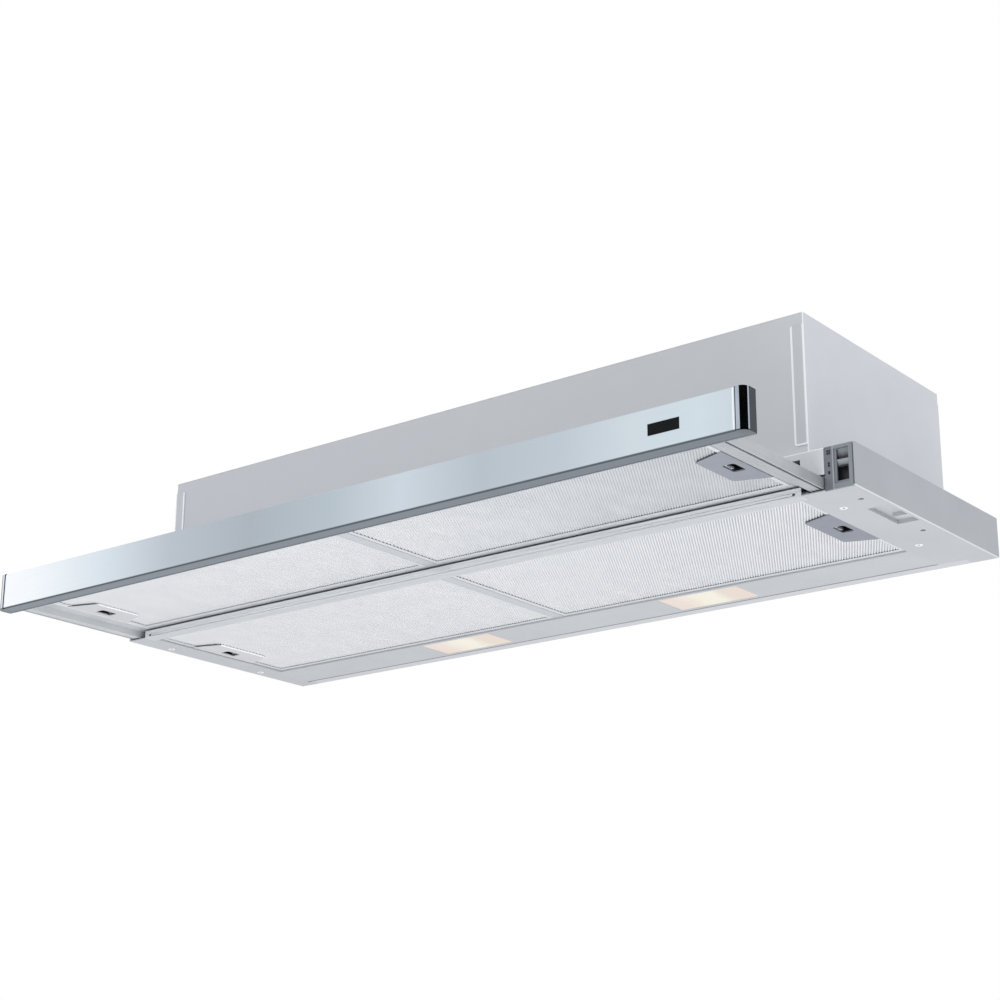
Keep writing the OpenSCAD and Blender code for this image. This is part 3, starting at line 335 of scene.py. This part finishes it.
def rail_zinc():
    """The drawer's rails: zinc, with painted light that makes them lighter on the left, and a
    painted highlight on the left rail's inner edge.
    """
    m = Mat("zinc_rail", Metallic=0.35)
    x = m.axis("X")
    cloud = m.cloud(45, detail=5)
    line = m.cloud(400, ROLLED_Y)
    # Painted light: lighter towards the left
    col = m.mix(m.span(x, -0.3, 0.3, 0, 1), srgb("D0D2D4"), srgb("B6B9BD"))
    col = m.mix(m.both(cloud, 0.12), col, WHITE_PURE)
    col = m.mix(m.both(line, 0.1), col, srgb("8C9095"))
    # Painted highlight along the left rail's inner edge
    m.colour(m.mix(m.near(x, RAIL_HIGHLIGHT_X, 0.0009), col, EDGE_HIGHLIGHT))
    m.rough(m.span(cloud, 0, 1, 0.36, 0.5))
    m.bump(line, 0.1, 0.0001)
    return m.mat


def visor_steel():
    """Brushed along X; a pale blue painted reflection in soft bands runs along the visor, with a
    painted highlight at its left end and by the caps, and painted shade on its underside.
    """
    m = Mat("visor_brushed", Metallic=0.7)
    x, z = m.axis("X"), m.axis("Z")
    along = m.span(x, -VISOR_HALF, VISOR_HALF, 0, 1)
    # Painted reflection: bands along X, white at the left end as a painted highlight
    face = m.ramp(along, [(0.0, "FFFFFF"), (0.046, "FBFDFE"), (0.166, "DFE6EB"),
                          (0.279, "BCC3CA"), (0.401, "ADB4B9"), (0.515, "B8C2C8"),
                          (0.61, "D0D8DF"), (0.712, "B9C2C8"), (0.808, "C2CBD2"),
                          (0.888, "D4DDE1"), (0.964, "D7E2E6"), (1.0, "D3DBE1")])
    grain = m.cloud(1400, BRUSHED_VISOR)
    face = m.mix(m.both(grain, 0.22), face, m.mix(0.5, face, srgb("C9D2DA")))
    # Painted highlight line by each cap
    face = m.mix(m.near(m.away(x), VISOR_HIGHLIGHT_X, 0.0007), face, srgb("F8FBFD"))
    # Painted shade: a darker underside, darkest along its front edge
    under = m.span(z, -0.0012, -0.0004, 1, 0)
    face = m.mix(under, face, m.mix(along, srgb("8A929B"), srgb("7C858E")))
    front = m.below(m.axis("Y"), VISOR_FRONT_Y + 0.0014)
    m.colour(m.mix(m.both(under, front), face, srgb("5C636A")))
    m.rough(m.span(grain, 0, 1, 0.3, 0.4))
    m.bump(grain, 0.03, 0.0001)
    return m.mat


def chrome():
    """Polished cap with dark joint lines and painted reflections: lighter on the left cap, a dark
    band on it, and dark outer sides; its outer side and underside are duller, and the underside
    is painted darker as shade.
    """
    m = Mat("cap_polished", Metallic=1.0)
    x, z, normal = m.axis("X"), m.axis("Z"), m.facing()
    side = m.span(m.away(normal["X"]), 0.975, 0.995, 0, 1)
    under = m.span(normal["Z"], -0.8, -0.5, 1, 0)
    smudge = m.cloud(60, detail=4, lo=0.35, hi=0.75)
    # Painted reflection: the left cap lighter than the right
    left, right = srgb("E4E8EC"), m.mix(smudge, srgb("B9BFC7"), srgb("AAB2BC"))
    line = m.either(m.near(x, CAP_JOINT_X, 0.0006), m.near(x, CAP_JOINT_LEFT_X, 0.0011))
    # Painted reflection: a dark band on the left cap
    line = m.either(line, m.near(x, CAP_REFLECTION_LEFT_X, 0.0021))
    line = m.either(line, m.near(z, CAP_LOW_Z, 0.0005))
    face = m.mix(line, m.mix(m.above(x, 0), left, right), srgb("2E3236"))
    # Painted reflection: dark outer sides, darkest towards the top
    col = m.mix(side, face, m.mix(smudge, srgb("44464D"), srgb("3E4044")))
    col = m.mix(m.both(side, m.above(z, CAP_TOP_Z)), col, srgb("26292D"))
    # Painted shade: a darker underside
    m.colour(m.mix(under, col, m.mix(smudge, srgb("858B90"), srgb("777D83"))))
    dull = m.both(m.either(side, under), 0.22)
    m.rough(m.calc("ADD", m.span(smudge, 0, 1, 0.05, 0.11), dull))
    m.bump(m.noise(300, detail=2), 0.02, 0.0001)
    return m.mat


def bright_bar():
    """Bright bar, brushed lengthwise; its front face is painted lighter than its underside, as
    painted light.
    """
    m = Mat("bar_brushed", Metallic=0.5)
    grain = m.cloud(1500, BRUSHED_BAR)
    below = m.mix(grain, srgb("C8CCD1"), srgb("DFE1E5"))
    front = m.mix(grain, srgb("DCDFE1"), srgb("F4F5F6"))
    # Painted light: the front face lighter than the underside
    m.colour(m.mix(m.span(m.facing()["Y"], -0.9, -0.6, 1, 0), below, front))
    m.rough(m.span(grain, 0, 1, 0.28, 0.38))
    m.bump(grain, 0.06, 0.0001)
    return m.mat


def aluminium(name, code):
    """Rolled aluminium of the filter frames."""
    m = Mat(name, Metallic=0.4)
    c = srgb(code)
    line = m.cloud(900, ROLLED_X)
    m.colour(m.mix(line, shade(c, 0.94), shade(c, 1.03)))
    m.rough(m.span(line, 0, 1, 0.3, 0.42))
    m.bump(line, 0.05, 0.0001)
    return m.mat


def mesh_metal(name, tip, end, gaps):
    """Expanded aluminium: bright strands, gaps in painted shade and the cross strands' faint
    rows.

    tip is the height of the strands' lower edge; the painted light and shade of strands and gaps
    grow towards the right, so the mesh looks flatter towards the left, and end and gaps are its
    strands' and gaps' colours at the right."""
    per_x, per_y = 350, -200  # cross strands per metre
    m = Mat(name, Metallic=0.1)
    x, y, z = (m.axis(a) for a in "XYZ")
    # Painted shade in the gaps, deeper above the strands' lower edge
    gap_shade = m.span(z, tip + 0.0002, tip + 0.0009, 0, 1)
    turn = m.calc("ADD", m.both(x, math.tau * per_x), m.both(y, math.tau * per_y))
    cross = m.calc("MULTIPLY_ADD", m.calc("COSINE", turn), 0.5, 0.5)
    streak = m.cloud(60, (1, 0.6, 1), lo=0.35, hi=0.65)
    # The painted light and shade grow stronger towards the right
    right = m.span(x, -0.05, 0.40, 0, 1, smooth=True)
    strand = m.mix(right, srgb("E0E1E3"), srgb(end))
    hollow = m.mix(m.both(cross, 0.3), m.mix(right, srgb("D0D1D4"), srgb(gaps)), strand)
    m.colour(m.mix(m.both(streak, 0.1), m.mix(gap_shade, strand, hollow), WHITE_PURE))
    m.rough(m.span(streak, 0, 1, 0.35, 0.5))
    m.bump(cross, 0.15, 0.0002)
    return m.mat


# ---------------------------------------------------------------- plastic and glass

def plastic(name, code, rough=0.5, grain=900):
    m = Mat(name)
    c = srgb(code)
    m.colour(m.mix(m.cloud(25, detail=4), shade(c, 0.96), shade(c, 1.03)))
    m.rough(m.cloud(80, detail=4, out=(rough - 0.06, rough + 0.06)))
    m.bump(m.noise(grain, detail=2), 0.18, 0.00015)
    return m.mat


def grained(m):
    """Gives a material the fine grain of the moulded parts."""
    m.rough(m.cloud(80, detail=4, out=(0.4, 0.52)))
    m.bump(m.noise(900, detail=2), 0.18, 0.00015)
    return m.mat


def left_right_light(m, left, right):
    """A faintly cloudy colour that changes from left to right along the hood as painted light,
    and how far right it is.
    """
    along = m.span(m.axis("X"), -0.3, 0.2, 0, 1)
    fac = m.cloud(25, detail=4)
    pair = [m.mix(fac, shade(srgb(code), 0.97), srgb(code)) for code in (left, right)]
    return m.mix(along, *pair), along


def handle_plastic(name, node, top, code):
    """A handle plate: a painted highlight on the inner edge on the left, painted shade on the
    slanted edge, and near-black painted shade above the plate.
    """
    m = Mat(name)
    lo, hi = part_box(node + "_left")
    col, _ = left_right_light(m, "C9CACD", code)
    x, y, z = (m.axis(a) for a in "XYZ")
    # Painted highlight on the left handles' inner edge
    rim = m.both(m.above(x, hi.x - 0.0015), m.below(x, 0))
    # Painted shade on the front-facing slanted edge
    slant_shade = m.both(m.span(m.facing()["Y"], -0.8, -0.6, 1, 0),
                   m.span(y, lo.y + 0.012, lo.y + 0.016, 1, 0))
    # Painted shade: near black above the plate's top, in the hole
    dark = m.both(m.above(z, top, 0.0001), m.outside(rim))
    col = m.mix(dark, m.mix(rim, col, WHITE_PURE), srgb("0A0B0E"))
    m.colour(m.mix(slant_shade, col, srgb("4A4C50")))
    return grained(m)


def latch_plastic(name, node):
    """A latch: pale on the pull that the fingertip meets, and near-black painted shade elsewhere
    in its hole.
    """
    m = Mat(name)
    lo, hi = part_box(node + "_right")
    col, right = left_right_light(m, "B4B6BB", "C6CAD2")
    x, y, z = (m.axis(a) for a in "XYZ")
    normal = m.facing()
    pull = m.both(right, m.below(x, lo.x + 0.011))
    arc = m.either(m.span(normal["X"], 0.3, 0.5, 0, 1), m.span(normal["Z"], -0.8, -0.6, 1, 0))
    end = m.both(m.span(normal["Y"], -0.8, -0.5, 1, 0), m.outside(right))
    pale = m.either(m.both(arc, pull), end)
    pale = m.both(pale, m.span(z, lo.z + 0.0014, lo.z + 0.0024, 1, 0))
    rear = m.both(right, m.span(y, hi.y - 0.0042, hi.y - 0.0034, 0, 1))
    pale = m.both(pale, m.outside(rear))
    # Painted shade: near black wherever the pale mask is off
    m.colour(m.mix(pale, srgb("060709"), col))
    return grained(m)


def knob_plastic():
    """The sliding control: a painted light ridge between two hollows in painted shadow."""
    m = Mat("plastic_knob", Roughness=0.35)
    lo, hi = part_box("speed_slider")
    t = m.span(m.axis("Z"), lo.z, hi.z, 0, 1)
    t = m.calc("ADD", t, m.cloud(400, detail=2, out=(-0.02, 0.02)))
    # Painted shade and highlight along Z
    m.colour(m.ramp(t, [(0.0, "0B0C0F"), (0.12, "202226"), (0.2, "85898F"), (0.40, "A2A6AC"),
                        (0.45, "141518"), (0.6, "292B2F"), (0.84, "85898F"), (1.0, "979BA1")]))
    m.bump(m.noise(900, detail=2), 0.18, 0.00015)
    return m.mat


def housing_plastic():
    """The control's housing: darker beside the marks, a painted highlight line along the slot."""
    m = Mat("plastic_control")
    x = m.axis("X")
    col = m.mix(m.above(x, SLOT_X), srgb("70757B"), srgb("858A91"))
    # Painted highlight on the step beside the slot
    col = m.mix(m.near(x, SLOT_X, 0.0006), col, srgb("9EA3AA"))
    m.colour(m.mix(m.cloud(25, detail=4), col, m.mix(0.05, col, srgb("3A3D41"))))
    return grained(m)


def plate_plastic():
    """The dark plate on the visor, which mirrors little."""
    mat = plastic("plate_dark", "080A0C", 0.5)
    mat.node_tree.nodes["Principled BSDF"].inputs["Specular IOR Level"].default_value = 0.15
    return mat


def lens():
    """Frosted covers over lit lamps: bright cream over the bulb, peach towards the ends."""
    m = Mat("lens_frosted", Roughness=0.45)
    m.colour(m.mix(m.cloud(500), srgb("7E7A74"), srgb("8A8680")))
    x = m.axis("X")
    lo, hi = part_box("lamp_lenses")
    reach = (hi.x - lo.x) / 2 - LENS_HALF
    mid = (hi.x + lo.x) / 2
    # From each cover's own middle
    s = m.calc("SUBTRACT", m.calc("ADD", x, reach - mid), m.both(m.above(x, mid), 2 * reach))
    s = m.calc("ADD", s, m.cloud(38, detail=2, out=(-0.006, 0.006)))
    m.glow(m.ramp(m.span(s, -LENS_HALF, LENS_HALF, 0, 1),
                  [(0.0, "E6D2C8"), (0.2, "E9D8CE"), (0.42, "F4EEDC"),
                   (0.6, "F4F0E0"), (0.75, "E2D3C6"), (1.0, "E8CFC4")]), 0.65)
    m.bump(m.noise(1500, detail=2), 0.15, 0.0001)
    return m.mat


def bulb():
    m = Mat("bulb_opal", Roughness=0.35)
    m.colour(m.mix(m.cloud(60), srgb("F2EDE2"), srgb("FBF7EE")))
    m.glow(srgb("FFE9C8"), 0.8)
    return m.mat


# ---------------------------------------------------------------- materials of the nodes

BOX_FRONT = paint("paint_front", "C6C9CD", front_light_tint)
BOX_SIDE = paint("paint_side", "CDCFD4", side_tint)
BASE = paint("paint_base", "B5B8BC", base_tint)
STRIP = paint("paint_strip", "D6D8DB", strip_tint)
PANEL = paint("paint_panel", "B7BABE", rim_tint)
RAIL = rail_zinc()
BARS = zinc("zinc_bar", "CDD0D4")
REAR_BAR = zinc("zinc_rear_bar", "D2D4D8", extra=rear_bar_shade)
GUIDE = zinc("zinc_guide", "A9ADB2")
SCROLL = zinc("zinc_scroll", "A7ABB0", 0.5)
DARK = plastic("plastic_black", "2A2C2F")
GREY = housing_plastic()
KNOB = knob_plastic()
OUTLET = plastic("plastic_outlet", "55595E", 0.5)
WHEEL = plastic("plastic_wheel", "3A3D41", 0.45)
WHITE = plastic("plastic_white", "D6D5D0", 0.45)
ENAMEL = paint("enamel_white", "E8E8E4")
CERAMIC = plastic("ceramic_glazed", "EDEBE4", 0.25, 300)
MOTOR = zinc("metal_motor", "9DA1A6", 0.5, 0.5)
SHAFT = zinc("metal_shaft", "C4C8CC", 0.25, 0.9)
FRAME = aluminium("filter_rolled", "E2E4E7")
VISOR = visor_steel()
BAR = bright_bar()
CHROME = chrome()
SCREW = zinc("metal_fastener", "DADDE0", 0.3, 0.7)
LENS = lens()
BULB = bulb()

# By the start of a node's name; the longest start that fits is taken
LOOK = {
    "casing_walls": BOX_FRONT, "casing_top": BOX_FRONT, "fan_plate": BOX_FRONT,
    "casing_side": BOX_SIDE, "base_side": BASE, "base_front_strip": STRIP,
    "base_rear_rail": PANEL, "lamp_panel": PANEL, "base_rivets": SCREW,
    "front_crossbar": BAR, "filter_divider": BARS,
    "lamp_housing": ENAMEL, "lamp_holders": CERAMIC, "lamp_lenses": LENS, "bulbs": BULB,
    "slide_guide": GUIDE, "control_housing": GREY, "speed_slider": KNOB, "speed_switch": DARK,
    "contact_switch": DARK, "contact_plunger": WHITE,
    "fan_scroll": SCROLL, "fan_wheel": WHEEL, "motor_shaft": SHAFT, "fan_motor": MOTOR,
    "motor_bracket": SCROLL, "outlet_collar": OUTLET, "flap": OUTLET, "flap_rod": SHAFT,
    "terminal_box": DARK, "cable_gland": DARK,
    "drawer_rail": RAIL, "drawer_front_bar": BARS, "drawer_rear_bar": REAR_BAR,
    "drawer_divider": BARS, "drawer_screws": SCREW, "visor": VISOR, "visor_cap": CHROME,
    "filter_frame": FRAME,
    "filter_mesh_front": mesh_metal("pad_front", 0.0108, "CFD1D5", "A8ABB0"),
    "filter_mesh_rear": mesh_metal("pad_rear", 0.0024, "EBECEE", "9B9EA3"),
    "filter_handle_front": handle_plastic("plastic_handle_front", "filter_handle_front",
                                          0.01075, "8B8F99"),
    "filter_handle_rear": handle_plastic("plastic_handle_rear", "filter_handle_rear",
                                         0.00235, "848893"),
    "filter_latch_front": latch_plastic("plastic_latch_front", "filter_latch_front"),
    "filter_latch_rear": latch_plastic("plastic_latch_rear", "filter_latch_rear"),
}

for name, obj in nodes.items():
    look = LOOK[max((k for k in LOOK if name.startswith(k)), key=len)]
    for s in obj.material_slots:
        s.link = "OBJECT"
        s.material = look


# ---------------------------------------------------------------- folded edges

def soften(prefixes, width):
    """Rounds the edges of CAD nodes, as folds and pressed edges are."""
    for name, obj in nodes.items():
        if name.startswith(prefixes):
            weld = obj.modifiers.new("weld", "WELD")
            weld.merge_threshold = 0.00001
            edge = obj.modifiers.new("edge", "BEVEL")
            edge.width = width
            edge.segments = 2
            edge.limit_method = "ANGLE"
            edge.angle_limit = math.radians(50)
            edge.use_clamp_overlap = True
            flat = obj.modifiers.new("flat", "WEIGHTED_NORMAL")
            flat.mode = "FACE_AREA"
            flat.weight = 100


soften(("casing_walls", "casing_side", "base_front", "base_rear"), 0.0004)
soften(("front_crossbar", "drawer_rail", "drawer_rear", "control_housing", "visor_cap"), 0.0005)
soften(("filter_handle", "filter_frame", "speed_slider"), 0.0003)


# ---------------------------------------------------------------- mesh helpers

def piece(name, bm, material, body):
    """Makes an object of a finished mesh and hangs it on its body."""
    mesh = bpy.data.meshes.new(name)
    bmesh.ops.recalc_face_normals(bm, faces=bm.faces)
    bm.to_mesh(mesh)
    bm.free()
    mesh.materials.append(material)
    obj = bpy.data.objects.new(name, mesh)
    bpy.context.scene.collection.objects.link(obj)
    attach(obj, body)
    return obj


def slab(bm, lo, hi):
    """A block between two corners."""
    lo, hi = Vector(lo), Vector(hi)
    m = Matrix.Translation((lo + hi) / 2) @ Matrix.Diagonal((*(hi - lo), 1))
    bmesh.ops.create_cube(bm, size=1, matrix=m)


def disc(bm, centre, radius, depth, axis, segments):
    """A flat round piece whose axis is Y or Z."""
    turn = {"Y": Matrix.Rotation(-math.pi / 2, 4, "X"), "Z": Matrix.Identity(4)}[axis]
    bmesh.ops.create_cone(bm, cap_ends=True, segments=segments, radius1=radius, radius2=radius,
                          depth=depth, matrix=Matrix.Translation(Vector(centre)) @ turn)


# ---------------------------------------------------------------- small pieces

# Plain plate where the photograph has a badge
PLATE_X = (0.3582, 0.3886)
PLATE_Z = (0.0113, 0.0214)
PLATE_PROUD = 0.00012
vlo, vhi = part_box("visor")
bm = bmesh.new()
slab(bm, (PLATE_X[0], vlo.y - PLATE_PROUD, PLATE_Z[0]), (PLATE_X[1], vlo.y + 0.0004, PLATE_Z[1]))
piece("visor_plate", bm, plate_plastic(), "drawer")

# Thin return along the visor's rear lower edge
RETURN_HALF = 0.4494
bm = bmesh.new()
slab(bm, (-RETURN_HALF, vhi.y - 0.0002, vlo.z), (RETURN_HALF, vhi.y + 0.0013, vlo.z + 0.0007))
piece("visor_return", bm, plastic("return_grey", "7F8790", 0.4), "drawer")

# Marks beside the control, from the top: four dots in a ring, a pair, a pair that touches
MARK_X = 0.4225
FAN_Z, TWO_Z, ONE_Z = 0.0337, 0.0227, 0.0154
MARK_THICK = 0.0002
mark_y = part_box("control_housing")[0].y - 0.00003
dots = []  # shift along X, height, radius
for quarter in range(4):
    a = math.radians(45 + 90 * quarter)
    dots.append((0.0014 * math.cos(a), FAN_Z + 0.0016 * math.sin(a), 0.0010))
dots += [(0, TWO_Z + 0.0010, 0.0011), (0, TWO_Z - 0.0012, 0.0011)]
dots += [(0, ONE_Z + 0.0005, 0.0010), (0, ONE_Z - 0.0006, 0.0010)]
bm = bmesh.new()
for shift, z, radius in dots:
    disc(bm, (MARK_X + shift, mark_y, z), radius, MARK_THICK, "Y", 16)
piece("control_marks", bm, plastic("ink_dark", "24272B", 0.5), "hood")

# Rivet heads: pressed rings, near white as partly painted highlight, round a dark disc of painted
# shade for the hole, instead of the plain discs
RIVET_R = 0.004
RIVET_AROUND = 40
RIVET_RINGS = ((RIVET_R, 0.0), (0.0036, -0.00045), (0.0028, -0.0007), (0.0019, -0.0005),
               (0.0012, -0.0001))  # radius and height, from the rim inwards
rlo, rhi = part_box("base_rivets")
heads, hole_shades = bmesh.new(), bmesh.new()
for x in (rlo.x + RIVET_R, rhi.x - RIVET_R):
    for y in (rlo.y + RIVET_R, rhi.y - RIVET_R):
        rings = []
        for radius, z in RIVET_RINGS:
            angles = [math.tau * k / RIVET_AROUND for k in range(RIVET_AROUND)]
            rings.append([heads.verts.new((x + radius * math.cos(a), y + radius * math.sin(a), z))
                          for a in angles])
        for outer, inner in zip(rings, rings[1:]):
            for k in range(RIVET_AROUND):
                n = (k + 1) % RIVET_AROUND
                heads.faces.new((outer[k], outer[n], inner[n], inner[k]))
        heads.faces.new(rings[0])
        heads.faces.new(rings[-1])
        disc(hole_shades, (x, y, -0.00016), 0.0012, 0.0001, "Z", 20)
# Near white: partly the rivets' pale metal, partly painted highlight
rivets = piece("rivet_heads", heads, plastic("rivet_white", "E6E8EA", 0.3), "hood")
for poly in rivets.data.polygons:
    poly.use_smooth = len(poly.vertices) == 4
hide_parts("base_rivets")
# Painted shade: a dark disc in each rivet's hole
piece("rivet_cores", hole_shades, DARK, "hood")


# ---------------------------------------------------------------- floor, world, lights, camera

FLOOR_Z = -2.6


def floor():
    """A pale floor far below, for the light that it throws back."""
    bm = bmesh.new()
    bmesh.ops.create_grid(bm, x_segments=2, y_segments=2, size=14)
    mesh = bpy.data.meshes.new("floor")
    bm.to_mesh(mesh)
    bm.free()
    obj = bpy.data.objects.new("floor", mesh)
    bpy.context.scene.collection.objects.link(obj)
    obj.location = (0, 0, FLOOR_Z)
    m = Mat("floor_pale", Roughness=0.9)
    m.colour(m.mix(m.cloud(3), srgb("EDEDED"), srgb("F1F1F1")))
    mesh.materials.append(m.mat)


def world():
    """White for the camera, a soft sky for the paint, and a dark card for the metal."""
    w = bpy.data.worlds.new("studio")
    bpy.context.scene.world = w
    w.use_nodes = True
    tree = w.node_tree
    tree.nodes.clear()
    add, link = tree.nodes.new, tree.links.new
    out = add("ShaderNodeOutputWorld")
    path = add("ShaderNodeLightPath").outputs
    co = add("ShaderNodeTexCoord")

    def toward(direction):
        d = add("ShaderNodeVectorMath")
        d.operation = "DOT_PRODUCT"
        d.inputs[1].default_value = Vector(direction).normalized()
        link(co.outputs["Generated"], d.inputs[0])
        return d.outputs["Value"]

    def span(value, *ends):
        m = add("ShaderNodeMapRange")
        m.interpolation_type = "SMOOTHSTEP"
        for key, end in zip(("From Min", "From Max", "To Min", "To Max"), ends):
            m.inputs[key].default_value = end
        link(value, m.inputs["Value"])
        return m.outputs[0]

    def calc(op, a, b):
        m = add("ShaderNodeMath")
        m.operation = op
        link(a, m.inputs[0])
        link(b, m.inputs[1])
        return m.outputs[0]

    def background(colour, strength=1.0):
        b = add("ShaderNodeBackground")
        b.inputs[0].default_value = (*colour, 1)
        b.inputs[1].default_value = strength
        return b

    def switch(fac, off, on):
        s = add("ShaderNodeMixShader")
        for socket, value in zip(s.inputs, (fac, off.outputs[0], on.outputs[0])):
            link(value, socket)
        return s

    # A wide dark card beside the camera, seen in metal only, gives the caps their dark stripe
    a = math.radians(47)
    card = span(toward((math.sin(a), -math.cos(a), 0)), 0.48, 0.53, 0, 1)
    over = span(toward((0, 0, 1)), 0.0, 0.08, 0, 1)
    metal = background((0.93, 0.96, 1.0))
    link(span(calc("MULTIPLY", card, over), 0, 1, 1, 0.002), metal.inputs[1])
    soft = background((0.97, 0.985, 1.0), 0.78)
    white = background((1, 1, 1))
    seen = calc("MAXIMUM", path["Is Camera Ray"], path["Is Transmission Ray"])
    lit = switch(path["Is Glossy Ray"], soft, metal)
    link(switch(seen, lit, white).outputs[0], out.inputs[0])


def lamp(name, place, target, size, power):
    """A square white lamp that lights the hood but isn't seen, not even in metal."""
    data = bpy.data.lights.new(name, "AREA")
    data.shape = "SQUARE"
    data.size = size
    data.energy = power
    obj = bpy.data.objects.new(name, data)
    bpy.context.scene.collection.objects.link(obj)
    obj.location = place
    obj.rotation_mode = "QUATERNION"
    obj.rotation_quaternion = (Vector(target) - Vector(place)).to_track_quat("-Z", "Y")
    obj.visible_camera = False
    obj.visible_glossy = False


def camera():
    """The photograph's camera, found from the straight edges of the hood."""
    place = Vector((1.23013, -1.75003, -0.54898))
    right = Vector((0.786147, 0.618026, 0.004071))
    down = Vector((-0.187917, 0.245300, -0.951060))
    ahead = Vector((-0.588778, 0.746908, 0.308979))
    data = bpy.data.cameras.new("camera")
    data.sensor_width = 36
    data.lens = 74.43
    data.clip_end = 100
    obj = bpy.data.objects.new("camera", data)
    bpy.context.scene.collection.objects.link(obj)
    m = Matrix.Identity(4)
    for i in range(3):
        m[i][0], m[i][1], m[i][2] = right[i], -down[i], -ahead[i]
    m.translation = place
    obj.matrix_world = m
    bpy.context.scene.camera = obj


floor()
world()
lamp("key", (-1.6, -2.6, 1.3), (0, -0.25, 0.05), 1.8, 22)
lamp("fill", (0.6, -1.0, -2.0), (0, -0.2, 0), 1.8, 30)
lamp("side", (3.0, 0.2, 0.2), (0.4, -0.15, 0.08), 1.6, 15)
camera()
bpy.context.scene.view_settings.view_transform = "Standard"
